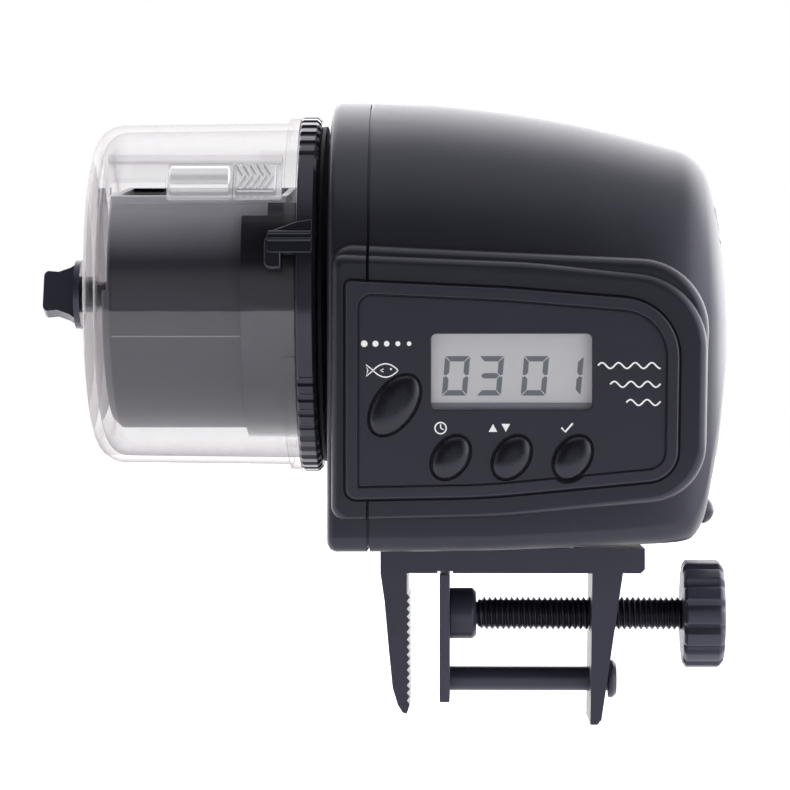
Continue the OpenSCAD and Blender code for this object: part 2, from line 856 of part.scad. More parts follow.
module drum_shell() {
    left_r = canister_r - 0.4;
    w = canister_wall;
    floor_x = shell_left + 2;
    notch = catch_angles[0] - 1.5;
    color("#dfe6ea60") difference() {
        union() {
            spun(concat(
                [[0, shell_left]],
                corner_arc([0, shell_left], [left_r, shell_left], [left_r, 0], shell_corner, 8),
                [[canister_r, shell_right], [canister_r - w, shell_right]],
                corner_arc(
                    [left_r - w, 0], [left_r - w, floor_x], [0, floor_x], shell_corner - w, 8
                ),
                [[0, floor_x]]
            ));
            difference() {
                tube_x(flange_left, shell_right, flange_r, canister_r - 0.5, 0, axis_z);
                for (a = [0, 180]) sector(-28, -24, canister_r, 40, a + notch - twist, a + notch);
            }
            for (side = [-1, 1]) slider_rail(side);
        }
        rod_x(-70, -60, 2.6, 0, axis_z);
        at_slider() block([rail_left + 0.5, -big, -1.9], [slider_left - 0.5, 0, 1.9]);
    }
}

module at_slider() {
    translate([0, 0, axis_z]) rotate([-slider_angle, 0, 0]) children();
}

// Rail with a lip over the slider's edge
module slider_rail(side) {
    outer = canister_r + slider_t + 1.4;
    lip = canister_r + 0.25 + slider_t + 0.25;
    low = side > 0 ? slider_half - 0.8 : -slider_half - 1.1;
    at_slider() difference() {
        intersection() {
            tube_x(rail_left, slider_right, outer, canister_r - 0.5);
            block([-64, -big, low], [0, 0, low + 1.9]);
        }
        intersection() {
            rod_x(-64, 0, lip);
            block([-64, -big, -slider_half - 0.15], [0, 0, slider_half + 0.15]);
        }
    }
    at_slider() intersection() {
        tube_x(rail_left - 1.6, rail_left - 0.8, canister_r + 0.9, canister_r - 1.4);
        block([-64, -big, -slider_half - 1.1], [0, 0, slider_half + 1.1]);
    }
}

module outlet_slider() {
    low = canister_r + 0.25;
    color("#dfe6ea60") at_slider() {
        intersection() {
            tube_x(slider_left, slider_right, low + slider_t, low);
            block([-64, -big, -slider_half], [0, 0, slider_half]);
        }
        difference() {
            translate([0, -low - 0.5, 0]) rod_x(slider_left, -36.8, 3.4);
            rod_x(-64, 0, low + 0.5);
        }
        difference() {
            block([-35.6, -low - 2.6, -3], [slider_right - 0.6, -low - 0.5, 3]);
            rod_x(-64, 0, low + 0.5);
            for (x = [-34.2:1.3:-29]) translate([x, -low - 2.9, -4]) rotate([0, 0, 45])
                cube([0.8, 0.8, 8]);
        }
    }
}

module metering_rotor() {
    r = rotor_r;
    color("#2b2b2f") difference() {
        spun([
            [0, rotor_left], [r - 1.6, rotor_left], [r, rotor_left + 1.6],
            [r, rotor_right], [0, rotor_right]
        ]);
        spun([
            [0, rotor_left + 2.4], [r - rotor_wall, rotor_left + 2.4],
            [r - rotor_wall, rotor_right - 1.4], [0, rotor_right - 1.4]
        ]);
        translate([0, 0, axis_z]) rotate([rotor_tilt, 0, 0])
            block([-70, -big, rotor_flat], [0, big, big]);
        block([-70, -big, axis_z], [rotor_left + 1, big, big]);
        rod_x(-70, -58, 1.3, 0, axis_z);
        square_socket();
    }
}

module square_socket() {
    block([-70, -1.75, axis_z - 1.75], [rotor_left + 1.6, 1.75, axis_z + 1.75]);
}

module end_knob() {
    tip = -76.3;
    base = -68.6;
    color(black) difference() {
        union() {
            translate([0, 0, axis_z]) rotate([-20, 0, 0]) {
                slab_y(-1.9, 1.9) polygon(concat(
                    corner_arc([base, -6.85], [tip, -4], [tip, 4], 1.2, 4),
                    corner_arc([tip, -4], [tip, 4], [base, 6.85], 1.2, 4),
                    [[-73.4, 4.1], [-71, 5], [base, 6.85]],
                    [[base, -6.85], [-71, -5], [-73.4, -4.1]]
                ));
            }
            rod_x(base - 1.2, base, 6.9, 0, axis_z);
            rod_x(base - 0.1, shell_left - 0.2, 3.6, 0, axis_z);
            rod_x(shell_left - 0.3, rotor_left - 0.2, 2.5, 0, axis_z);
            block([rotor_left - 0.3, -1.7, axis_z - 1.7], [rotor_left + 1.5, 1.7, axis_z + 1.7]);
        }
        rod_x(-67, -58, 1.05, 0, axis_z);
    }
}

module rotor_screw() {
    color("silver") difference() {
        union() {
            rod_x(rotor_left + 2.4, rotor_left + 4, 2.6, 0, axis_z);
            rod_x(-66.6, rotor_left + 2.5, 1, 0, axis_z);
        }
        translate([rotor_left + 3.3, -1.6, axis_z - 0.3]) cube([2, 3.2, 0.6]);
    }
}

// ---- Clamp

module clamp_frame() {
    teeth = [for (z = [-4:-tooth_pitch:-26])
        each [[jaw_face, z], [jaw_face + tooth_depth, z - tooth_pitch / 2]]];
    outline = concat(
        [[-8.6, 4.9], [43.3, 4.9], [43.3, 0.8], [42.5, 0], [39, 0], [34.8, -28.7], [34, -29.7],
         [32.6, -29.7], [33, 0]],
        [[relief[1], 0], [relief[1], 0.4], [relief[0], 0.4], [relief[0], 0], [jaw_face, 0]],
        teeth,
        [[jaw_face, -27.6], [-4.2, -27.4], [-5.2, -25.8], [-6.2, -22.5], [-7, -14.5], [-7.8, -5.5],
         [-8.6, 0]]
    );
    color(black) difference() {
        slab_y(-clamp_depth / 2, clamp_depth / 2) polygon(outline);
        rod_x(30, 44, screw_r + fit, 0, screw_z);
        rod_x(30, 44, rod_r + fit, 0, rod_z);
        for (m = mount_screws) translate([m.x, m.y, -1]) {
            cylinder(h = 9, r = 1.6);
            cylinder(h = 3.4, r = 3);
        }
    }
}

module clamp_mount_screws() {
    color("silver") for (m = mount_screws) translate([m.x, m.y, 0]) difference() {
        union() {
            translate([0, 0, 0.6]) cylinder(h = 1.8, r = 2.8);
            cylinder(h = 10, r = 1.5);
        }
        translate([-1.6, -0.3, -1]) cube([3.2, 0.6, 2.4]);
        translate([-0.3, -1.6, -1]) cube([0.6, 3.2, 2.4]);
        translate([-2, -2, -1]) cube([4, 4, 1.6]);
    }
}

// Thread drawn as rings: crest, root, crest
function thread_profile(x0, x1, crest, root) =
    let (turns = floor((x1 - x0) / screw_pitch))
    [for (i = [0:turns - 1]) let (x = x0 + i * screw_pitch)
        each [
            [root, x], [crest, x + 0.42 * screw_pitch],
            [crest, x + 0.58 * screw_pitch], [root, x + 0.99 * screw_pitch]
        ]];

module clamp_screw() {
    color(black) spun(concat(
        [[0, 6.4], [2.9, 6.4], [2.9, 7.8], [2.3, 7.8], [2.3, thread_x[0]]],
        thread_profile(thread_x[0], thread_x[1], screw_r, screw_r - 0.6),
        [[screw_r - 0.6, knob_x[0]], [screw_r - 0.6, 56], [0, 56]]
    ), 0, screw_z);
}

module clamp_knob() {
    rim = 1.2;
    color(black) difference() {
        spun([
            [0, knob_x[0]], [knob_r - 0.6, knob_x[0]], [knob_r, knob_x[0] + 0.6],
            [knob_r, knob_x[1] - rim], [knob_r - rim, knob_x[1]], [knob_r - 3, knob_x[1]],
            [knob_r - 4, knob_x[1] - 0.8], [0, knob_x[1] - 0.8]
        ], 0, screw_z);
        rod_x(50, 56.2, screw_r - 0.57, 0, screw_z);
        for (a = [0:360 / 14:359]) along_x(50, 0, screw_z) rotate(a)
            translate([knob_r + 0.9, 0]) cylinder(h = 10, r = 1.75, $fn = 24);
    }
}

module pressure_plate() {
    color(black) difference() {
        block([plate_x[0], -10.5, -25.5], [plate_x[1], 10.5, -0.3]);
        rod_x(3.8, 6, rod_r + 0.02, 0, rod_z);
    }
}

module swivel_socket() {
    color(black) spun([
        [0, plate_x[1]], [socket_r, plate_x[1]], [socket_r, socket_right - 0.8],
        [socket_r - 0.8, socket_right], [2.4, socket_right], [2.4, 8],
        [3, 8], [3, 6.2], [0, 6.2]
    ], 0, screw_z);
}

module guide_rod() {
    color(black) spun([
        [0, 3.8], [rod_r, 3.8], [rod_r, 36.5], [3.8, 36.5], [3.8, 37.4], [3, 38.2], [0, 38.2]
    ], 0, rod_z);
}

// ---- Wires

// A wire along straight runs; its ends are flat
module wire(points) {
    for (i = [0:len(points) - 2]) {
        v = points[i + 1] - points[i];
        translate(points[i]) rotate([0, acos(v.z / norm(v)), atan2(v.y, v.x)])
            cylinder(h = norm(v), r = wire_r, $fn = 24);
    }
    for (i = [1:len(points) - 2]) translate(points[i]) sphere(r = wire_r, $fn = 24);
}

module motor_wires() {
    back = board_y + board_t;
    for (dz = [-terminal_z, terminal_z])
        color(dz > 0 ? "red" : "black") wire([
            [terminal_end, motor_y, motor_z + dz], [wire_x - 0.6, motor_y, motor_z + dz],
            [wire_x - 0.6, back, motor_z + dz]
        ]);
}

module battery_wires() {
    back = board_y + board_t;
    start_x = tray_x[0] - tab_out;
    roof = tray_z[1] - tray_wall - contact_t / 2;
    for (side = [-1, 1])
        color(side > 0 ? "red" : "black") wire([
            [start_x, side * cell_y, roof], [wire_x, side * cell_y, roof],
            [wire_x, side * cell_y, 43 - 2 * side], [wire_x, back, 43 - 2 * side]
        ]);
}

main_shell();
front_cover();
control_panel();
lcd_window();
lcd_display();
zebra_strip();
control_board();
board_screws();
tact_switches();
feed_button();
mode_button();
adjust_button();
set_button();
battery_tray();
battery_cells();
battery_contacts();
battery_door();
gear_plate_front();
gear_plate_back();
gear_pillars();
gear_screws();
motor_can();
motor_gearhead();
drive_pinion();
idler_gear();
idler_axle();
output_gear();
drive_shaft();
shaft_bushes();
shaft_clip();
position_cam();
position_switch();
drive_hub();
drum_ring();
drum_shell();
outlet_slider();
metering_rotor();
end_knob();
rotor_screw();
clamp_frame();
clamp_screw();
clamp_knob();
pressure_plate();
swivel_socket();
guide_rod();
case_screws();
clamp_mount_screws();
motor_wires();
battery_wires();
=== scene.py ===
"""Looks of the clamp-on automatic fish feeder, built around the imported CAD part.

Sizes are in millimetres, in the CAD part's frame, and become metres where a mesh is made.
"""

import json
import math

import bmesh
import bpy
import numpy as np
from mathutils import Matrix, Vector


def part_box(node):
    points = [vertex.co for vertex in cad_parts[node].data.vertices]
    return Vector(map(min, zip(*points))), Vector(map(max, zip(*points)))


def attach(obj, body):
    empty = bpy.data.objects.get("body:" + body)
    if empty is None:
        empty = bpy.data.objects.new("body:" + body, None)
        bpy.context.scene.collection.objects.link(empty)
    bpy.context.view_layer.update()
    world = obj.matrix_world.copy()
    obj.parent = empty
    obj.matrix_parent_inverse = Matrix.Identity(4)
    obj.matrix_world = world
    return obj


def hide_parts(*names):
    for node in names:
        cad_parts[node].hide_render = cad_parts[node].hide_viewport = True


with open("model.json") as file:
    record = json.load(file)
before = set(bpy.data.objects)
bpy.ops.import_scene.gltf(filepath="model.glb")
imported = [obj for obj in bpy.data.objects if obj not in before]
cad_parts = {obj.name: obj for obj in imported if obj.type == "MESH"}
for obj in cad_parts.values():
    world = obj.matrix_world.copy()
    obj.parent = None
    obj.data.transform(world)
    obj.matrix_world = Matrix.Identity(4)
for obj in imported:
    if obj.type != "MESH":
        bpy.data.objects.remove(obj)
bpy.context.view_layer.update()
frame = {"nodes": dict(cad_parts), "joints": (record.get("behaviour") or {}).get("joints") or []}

MM = 0.001
joints = {j["name"]: j for j in frame["joints"]}


def span(node):
    """Lowest and highest corner of a CAD node, in millimetres."""
    low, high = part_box(node)
    return low / MM, high / MM


def pivot(joint):
    """A joint's place in millimetres."""
    return Vector(joints[joint]["pos_m"]) / MM


# ---- Places taken from the CAD part

AXIS_Z = pivot("drive_spin").z
DOOR_PIVOT = pivot("door_swing")
SCREW_Z = pivot("screw_turn").z
WINDOW_LOW, WINDOW_HIGH = span("lcd_window")
SEAM_X = span("front_cover")[1].x
PANEL_FRONT = span("control_panel")[0].y
POD_Y = PANEL_FRONT + 1.2
PANEL_BACK = POD_Y + 0.8
FACE_Y = PANEL_FRONT + 0.48
WALL = 2.0
CASE_BOSSES = [(-32.6, 10.3), (32.6, 10.3), (-22, 81), (22, 81)]

# ---- Outlines shared with the CAD part
# Housing stations: x, half width, top, widest level, bottom, radius of the bottom corners
STATIONS = [
    (-18, 36.6, 91.8, AXIS_Z, 6.7, 2),
    (-17.4, 37.6, 92.8, AXIS_Z, 5.7, 3),
    (-16.4, 38, 93.2, AXIS_Z, 5.3, 3),
    (0, 38, 92.8, AXIS_Z, 5.4, 3),
    (12.6, 37.5, 91.6, 55, 5.6, 3),
    (27.8, 36, 89.2, 54.5, 6.1, 3.2),
    (40, 34, 86.4, 53.5, 6.5, 3.6),
    (47.5, 32.3, 84.4, 52.6, 6.8, 4.2),
    (51, 31.1, 83.4, 52, 7.4, 5),
    (53.7, 29.4, 81.6, 51.4, 10.8, 6.2),
    (55.4, 27.8, 79.5, 50.8, 17.5, 7.4),
    (56.8, 25.6, 75.7, 50, 24.4, 8),
    (58.1, 21.6, 68.6, 48.4, 33.2, 8),
    (58.8, 17.5, 63.5, 47.5, 37.6, 7),
    (59.3, 12, 57, 46.8, 41, 5),
    (59.6, 6, 51.5, 46.4, 43.8, 2),
]
TAPER_START = 48
POD_CORNERS = [
    (-17.1, 61.6, 2.5), (20, 60, 150), (53.7, 56.6, 14), (53.1, 15.8, 11.2), (14, 12.1, 150),
    (-17.1, 11.4, 2.7),
]
LEDGE_CORNERS = [
    (-17.1, 63.6, 4), (54.8, 60.1, 13.5), (53.8, 44, 60), (53.3, 15.6, 11.4), (14, 11.9, 150),
    (-17.1, 11.3, 2.8),
]
# Where the rounded edges of the control housing and of the ledge reach their front faces
POD_FACE = [
    (-15.2, 59.6, 1.2), (20, 58.1, 150), (51.8, 54.8, 12.2), (51.2, 16.8, 10), (14, 12.8, 150),
    (-15.2, 12.1, 1.5),
]
LEDGE_FACE = [
    (-15.2, 61.5, 2), (52.8, 58.1, 11.6), (51.9, 44, 60), (51.4, 17.2, 9.6), (14, 12.8, 150),
    (-15.2, 12.2, 1.5),
]
PANEL_CORNERS = [
    (-14.3, 56.4, 0.8), (16, 55, 150), (48.3, 52.3, 11), (47.8, 19.3, 5.8), (12, 15.9, 150),
    (-14.3, 15.4, 2),
]


# ---- Mesh helpers


def unit(v):
    return v / np.linalg.norm(v)


def rounded(corners, inset=0.0, steps=10, least=0.4):
    """Closed outline with rounded corners, pulled in by inset. A corner is x, z, radius."""
    places = np.array([corner[:2] for corner in corners], float)
    points = []
    for i, (_, _, radius) in enumerate(corners):
        u = unit(places[i - 1] - places[i])
        v = unit(places[(i + 1) % len(corners)] - places[i])
        half = math.acos(float(u @ v)) / 2
        # The outlines run clockwise, so a left turn is a hollow corner
        pull = -inset if u[1] * v[0] > u[0] * v[1] else inset
        radius = max(radius - pull, least)
        inward = unit(u + v) / math.sin(half)
        centre = places[i] + inward * (pull + radius)
        first, last = [side * radius / math.tan(half) - inward * radius for side in (u, v)]
        start = math.atan2(first[1], first[0])
        turn = (math.atan2(last[1], last[0]) - start + 3 * math.pi) % (2 * math.pi) - math.pi
        for angle in [start + turn * step / steps for step in range(steps + 1)]:
            points.append(centre + radius * np.array([math.cos(angle), math.sin(angle)]))
    return np.array(points)


def box_corners(x0, z0, x1, z1, radius):
    return [(x0, z1, radius), (x1, z1, radius), (x1, z0, radius), (x0, z0, radius)]


def circle(steps):
    """Cosines and sines of evenly spaced angles."""
    angles = np.arange(steps) * 2 * math.pi / steps
    return np.cos(angles), np.sin(angles)


def ellipse(centre, length, width, lean, steps=64):
    """Closed ellipse in the XZ plane whose long axis leans clockwise from upright."""
    turn = math.radians(90 - lean)
    along = np.array([math.cos(turn), math.sin(turn)])
    across = np.array([-math.sin(turn), math.cos(turn)])
    cos, sin = circle(steps)
    return np.array(centre) + np.outer(cos, along * length / 2) + np.outer(sin, across * width / 2)


def at_y(outline, y):
    """An outline of x, z points as a ring at depth y."""
    return np.column_stack([outline[:, 0], np.full(len(outline), y), outline[:, 1]])


def loft(rings):
    """Points and faces of a closed skin through rings with equal numbers of points."""
    n = len(rings[0])
    points = np.concatenate(rings)
    faces = []
    for k in range(len(rings) - 1):
        for i in range(n):
            j = (i + 1) % n
            faces.append((k * n + i, k * n + j, (k + 1) * n + j, (k + 1) * n + i))
    faces.append(tuple(range(n - 1, -1, -1)))
    faces.append(tuple(range((len(rings) - 1) * n, len(rings) * n)))
    return points, faces


def slab(outline, y0, y1):
    """A plate in the XZ plane, from y0 to y1."""
    outline = np.array(outline, float)
    return loft([at_y(outline, y0), at_y(outline, y1)])


def around_x(x, radius, z, y=0.0, steps=96, start=1):
    """A circle about a line along X, from its back, or from its front where start is -1.

    The radius may be a list, one for each step.
    """
    cos, sin = circle(steps)
    return np.column_stack([np.full(steps, x), y + start * radius * cos, z + radius * sin])


def lathe_x(profile, z, y=0.0, steps=96):
    """A solid of revolution along X; the profile's points are x, radius."""
    return loft([around_x(x, r, z, y, steps) for x, r in profile])


def lathe_y(profile, x, z):
    """A solid of revolution along Y; the profile's points are y, radius."""
    steps = 48
    cos, sin = circle(steps)
    return loft([
        np.column_stack([x + r * cos, np.full(steps, y), z + r * sin]) for y, r in profile
    ])


def lathe_z(profile, x, y):
    """A solid of revolution along Z; the profile's points are z, radius."""
    steps = 64
    cos, sin = circle(steps)
    return loft([
        np.column_stack([x + r * cos, y + r * sin, np.full(steps, z)]) for z, r in profile
    ])


def bevelled(start, end, radius, bevel):
    """Profile of a rod with bevelled ends."""
    return [
        (start, radius - bevel), (start + bevel, radius), (end - bevel, radius),
        (end, radius - bevel),
    ]


def round_ended(start, end, radius, steps):
    """Profile of a rod with round ends."""
    angles = [math.pi / 2 * i / steps for i in range(steps + 1)]
    tip = [(radius * (1 - math.sin(a)), max(radius * math.cos(a), 0.02)) for a in angles]
    return [(start + x, r) for x, r in reversed(tip)] + [(end - x, r) for x, r in tip]


def block(low, high):
    (x0, y0, z0), (x1, y1, z1) = low, high
    base = np.array([(x0, y0), (x1, y0), (x1, y1), (x0, y1)])
    return loft([np.column_stack([base, np.full(4, z)]) for z in (z0, z1)])


def placed(name, data):
    """An object with this mesh or camera, in the scene."""
    made = bpy.data.objects.new(name, data)
    bpy.context.scene.collection.objects.link(made)
    return made


def solid(name, shape):
    """An object made of one closed skin, with its faces turned outwards."""
    points, faces = shape
    mesh = bpy.data.meshes.new(name)
    mesh.from_pydata([tuple(p) for p in np.asarray(points, float) * MM], [], faces)
    bm = bmesh.new()
    bm.from_mesh(mesh)
    bmesh.ops.recalc_face_normals(bm, faces=bm.faces)
    bm.to_mesh(mesh)
    bm.free()
    return placed(name, mesh)


def boolean(target, tools, operation):
    """Cuts or joins the tools into target, and removes the tools."""
    for tool in tools:
        step = target.modifiers.new("boolean", "BOOLEAN")
        step.operation = operation
        step.solver = "MANIFOLD"
        step.object = tool
        bpy.context.view_layer.update()
        graph = bpy.context.evaluated_depsgraph_get()
        target.data = bpy.data.meshes.new_from_object(target.evaluated_get(graph))
        target.modifiers.clear()
        bpy.data.objects.remove(tool)
    return target


def cut(target, *shapes):
    return boolean(target, [solid("tool", s) for s in shapes], "DIFFERENCE")


def join(target, *shapes):
    return boolean(target, [solid("tool", s) for s in shapes], "UNION")


def keep(target, *shapes):
    return boolean(target, [solid("tool", s) for s in shapes], "INTERSECT")


def copy_of(obj, name):
    return placed(name, obj.data.copy())


def merged(name, *shapes):
    """One object from several separate closed skins."""
    points, faces, start = [], [], 0
    for p, f in shapes:
        points.append(np.asarray(p, float))
        faces += [tuple(start + i for i in face) for face in f]
        start += len(p)
    return solid(name, (np.concatenate(points), faces))


def soften(obj, width, sharp=30, where=None):
    """Merges flat neighbours and bevels the sharp edges, or those of them that where accepts."""
    flat = math.radians(0.4)
    bm = bmesh.new()
    bm.from_mesh(obj.data)
    bmesh.ops.remove_doubles(bm, verts=bm.verts, dist=0.002 * MM)
    bmesh.ops.dissolve_limit(bm, angle_limit=flat, verts=bm.verts, edges=bm.edges)
    edges = [
        e for e in bm.edges
        if e.is_manifold and e.calc_face_angle() > math.radians(sharp)
        and (where is None or where(e.verts[0].co / MM, e.verts[1].co / MM))
    ]
    if edges and width:
        bmesh.ops.bevel(
            bm, geom=edges, offset=width * MM, segments=2, profile=0.5,
            affect="EDGES", clamp_overlap=True, loop_slide=True,
        )
    made = bpy.data.meshes.new(obj.name)
    bm.to_mesh(made)
    bm.free()
    if "custom_normal" in made.attributes:
        made.attributes.remove(made.attributes["custom_normal"])
    obj.data = made
    return obj


def dress(obj, material, body, replaces=(), crease=40, weighted=True):
    """Gives a finished piece its material, shading and CAD body."""
    obj.data.materials.clear()
    obj.data.materials.append(material)
    for polygon in obj.data.polygons:
        polygon.use_smooth = True
        polygon.material_index = 0
    obj.data.set_sharp_from_angle(angle=math.radians(crease))
    if weighted:
        normals = obj.modifiers.new("normals", "WEIGHTED_NORMAL")
        normals.keep_sharp = True
    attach(obj, body)
    if replaces:
        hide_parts(*replaces)
    return obj


def refined(node, name, width, material, body, sharp=30):
    """A CAD node with softened edges, as a piece of its own."""
    obj = soften(copy_of(frame["nodes"][node], name), width, sharp)
    return dress(obj, material, body, (node,))


# ---- Materials


def link(tree, source, target):
    """Sets a socket from another socket, or to a number or a colour."""
    if isinstance(source, bpy.types.NodeSocket):
        tree.links.new(source, target)
    else:
        target.default_value = source


def set_inputs(node, values):
    for key, value in values.items():
        node.inputs[key].default_value = value


def new_node(tree, kind, **settings):
    made = tree.nodes.new(kind)
    for key, value in settings.items():
        if key in made.inputs:
            made.inputs[key].default_value = value
        else:
            setattr(made, key, value)
    return made


def ramp_node(tree, value, start, end, low, high, kind="SMOOTHSTEP"):
    """Carries a value from the range start to end over to the range low to high."""
    made = new_node(tree, "ShaderNodeMapRange", interpolation_type=kind)
    set_inputs(made, {"From Min": start, "From Max": end, "To Min": low, "To Max": high})
    link(tree, value, made.inputs["Value"])
    return made.outputs["Result"]


def math_node(tree, operation, a, b):
    """Sum or product of two values, each a number or a socket."""
    made = new_node(tree, "ShaderNodeMath", operation=operation)
    link(tree, a, made.inputs[0])
    link(tree, b, made.inputs[1])
    return made.outputs[0]


def axes_of(tree, coordinates):
    """The place on each axis, in Object or Generated coordinates."""
    place = new_node(tree, "ShaderNodeTexCoord")
    axes = new_node(tree, "ShaderNodeSeparateXYZ")
    link(tree, place.outputs[coordinates], axes.inputs[0])
    return axes.outputs


def noise_node(tree, size_mm, detail):
    place = new_node(tree, "ShaderNodeTexCoord")
    noise = new_node(tree, "ShaderNodeTexNoise", Scale=1 / (size_mm * MM), Detail=detail)
    link(tree, place.outputs["Object"], noise.inputs["Vector"])
    return noise.outputs["Fac"]


def add_relief(tree, shader, height, strength, depth_mm):
    bump = new_node(tree, "ShaderNodeBump", Strength=strength, Distance=depth_mm * MM)
    link(tree, height, bump.inputs["Height"])
    link(tree, bump.outputs["Normal"], shader.inputs["Normal"])


def colour_mix(tree, share, first, second):
    mix = new_node(tree, "ShaderNodeMix", data_type="RGBA")
    sockets = [socket for socket in mix.inputs if socket.type == "RGBA"]
    link(tree, first, sockets[0])
    link(tree, second, sockets[1])
    link(tree, share, mix.inputs["Factor"])
    return [socket for socket in mix.outputs if socket.type == "RGBA"][0]


def shader_mix(tree, share, first, second, output):
    """Sends a mix of two shaders to the output."""
    mix = new_node(tree, "ShaderNodeMixShader")
    for socket, source in zip(mix.inputs, (share, first, second)):
        link(tree, source, socket)
    link(tree, mix.outputs["Shader"], output.inputs["Surface"])


def new_material(name):
    material = bpy.data.materials.new(name)
    material.use_nodes = True
    return material, material.node_tree


def textured(name, colour, roughness, spread=0.12, blotch_mm=9.0, grain_mm=0.35, relief=0.25,
             rough_spread=0.06, metallic=0.0, specular=0.5, coat=0.0, sheen=(1, 1, 1)):
    """A moulded or metal finish: slow colour drift, fine grain in the gloss and in the relief."""
    material, tree = new_material(name)
    shader = tree.nodes["Principled BSDF"]
    set_inputs(shader, {
        "Metallic": metallic, "Specular IOR Level": specular, "Specular Tint": (*sheen, 1),
        "Coat Weight": coat, "Coat Roughness": 0.06,
    })
    drift, grain = noise_node(tree, blotch_mm, 2.0), noise_node(tree, grain_mm, 3.0)
    dark, light = [(*[c * level for c in colour], 1) for level in (1 - spread, 1 + spread)]
    link(tree, colour_mix(tree, drift, dark, light), shader.inputs["Base Color"])
    gloss = (roughness - rough_spread, roughness + rough_spread)
    link(tree, ramp_node(tree, grain, 0, 1, *gloss, "LINEAR"), shader.inputs["Roughness"])
    add_relief(tree, shader, grain, relief, grain_mm * 0.12)
    return material


def clear_plastic(name, face_tint, edge_tint, roughness=0.02):
    """Clear moulded plastic: a gloss over a see-through body that darkens towards its edges."""
    material, tree = new_material(name)
    tree.nodes.clear()
    output = new_node(tree, "ShaderNodeOutputMaterial")
    see = new_node(tree, "ShaderNodeBsdfTransparent")
    shine = new_node(tree, "ShaderNodeBsdfGlossy", Roughness=roughness)
    facing = new_node(tree, "ShaderNodeLayerWeight", Blend=0.5).outputs["Facing"]
    ramp = new_node(tree, "ShaderNodeValToRGB")
    stops = ramp.color_ramp.elements
    stops[0].position, stops[0].color = 0.1, (*face_tint, 1)
    stops[1].position, stops[1].color = 1.0, (*edge_tint, 1)
    stops.new(0.55).color = (*[0.95 * value for value in face_tint], 1)
    link(tree, facing, ramp.inputs["Fac"])
    link(tree, ramp.outputs["Color"], see.inputs["Color"])
    # Less shine where the surface is seen edge on, so that the canister's end stays visible
    link(tree, ramp_node(tree, facing, 0.65, 1.0, 0.65, 0.3), shine.inputs["Color"])
    # The Fresnel node turns its IOR over on the far side of a wall, so it is turned over first
    side = new_node(tree, "ShaderNodeNewGeometry").outputs["Backfacing"]
    fresnel = new_node(tree, "ShaderNodeFresnel")
    link(tree, ramp_node(tree, side, 0, 1, 1.49, 1 / 1.49, "LINEAR"), fresnel.inputs["IOR"])
    add_relief(tree, shine, noise_node(tree, 14, 1.0), 0.12, 0.4)
    shader_mix(tree, fresnel.outputs["Fac"], see.outputs["BSDF"], shine.outputs["BSDF"], output)
    return material


def with_painted_reflection(material, low, high, colour):
    """Paints a pale reflection into a moulding's base colour on its front side, coming in between
    two heights, in millimetres.
    """
    tree = material.node_tree
    target = tree.nodes["Principled BSDF"].inputs["Base Color"]
    _, y, z = axes_of(tree, "Object")
    height = ramp_node(tree, z, low * MM, high * MM, 0, 1)
    depth = ramp_node(tree, y, -16 * MM, 0, 1, 0)
    share = math_node(tree, "MULTIPLY", height, depth)
    link(tree, colour_mix(tree, share, target.links[0].from_socket, (*colour, 1)), target)


def milky_plastic(name, colour, cover):
    """Clear plastic that also scatters light: a share of white gloss over a see-through body."""
    material = clear_plastic(name, (0.95, 0.95, 0.96), (0.6, 0.6, 0.63))
    tree = material.node_tree
    output = [n for n in tree.nodes if n.type == "OUTPUT_MATERIAL"][0]
    body = output.inputs["Surface"].links[0].from_socket
    white = new_node(tree, "ShaderNodeBsdfPrincipled", Roughness=0.12, Metallic=0.6)
    set_inputs(white, {"Base Color": (*colour, 1)})
    shader_mix(tree, cover, body, white.outputs["BSDF"], output)
    return material


COOL = (0.80, 0.79, 1.0)


def black_plastic(name, level, roughness, **settings):
    """Black moulding with a bluish sheen; level is how light it is."""
    return textured(name, (level, level, level * 1.5), roughness, sheen=COOL, **settings)


housing_black = black_plastic("housing_black", 0.0105, 0.37, specular=0.57)
panel_black = black_plastic("panel_black", 0.0150, 0.40, grain_mm=0.25, specular=0.57)
button_black = black_plastic("button_black", 0.0075, 0.27, grain_mm=0.8, relief=0.06,
                             rough_spread=0.04)
ring_black = black_plastic("ring_black", 0.0125, 0.17, grain_mm=0.6, relief=0.05,
                           rough_spread=0.03)
hub_black = black_plastic("hub_black", 0.0060, 0.60, specular=0.15)
knob_black = black_plastic("knob_black", 0.0330, 0.33, grain_mm=0.5, relief=0.08)
rotor_black = black_plastic("rotor_black", 0.0120, 0.50, relief=0.06, specular=0.54)
# Painted reflection: the rotor's upper front is paler, standing in for light reflected by the
# canister and the rotor's gloss
with_painted_reflection(rotor_black, 59, 73, (0.37, 0.37, 0.41))
# Pale grey of the rotor's mould line: a painted highlight along the line
seam_highlight_grey = textured("seam_highlight_grey", (0.23, 0.23, 0.25), 0.35)
clamp_black = black_plastic("clamp_black", 0.0265, 0.38)
jaw_black = black_plastic("jaw_black", 0.0420, 0.38)
thread_black = black_plastic("thread_black", 0.0080, 0.30, relief=0.15)
lcd_grey = textured("lcd_grey", (0.685, 0.68, 0.725), 0.35, spread=0.015, blotch_mm=20,
                    grain_mm=0.15, relief=0.03)
lcd_ink = textured("lcd_ink", (0.17, 0.18, 0.22), 0.45, spread=0.04, relief=0.02)
lcd_edge = textured("lcd_edge", (0.235, 0.235, 0.295), 0.35, spread=0.05, relief=0.02)
print_white = textured("print_white", (0.86, 0.86, 0.86), 0.5, spread=0.03, blotch_mm=3,
                       grain_mm=0.12, relief=0.1)
steel = textured("steel", (0.55, 0.55, 0.57), 0.28, spread=0.05, grain_mm=0.2, metallic=1.0)
nickel = textured("nickel", (0.66, 0.65, 0.62), 0.22, spread=0.04, metallic=1.0)
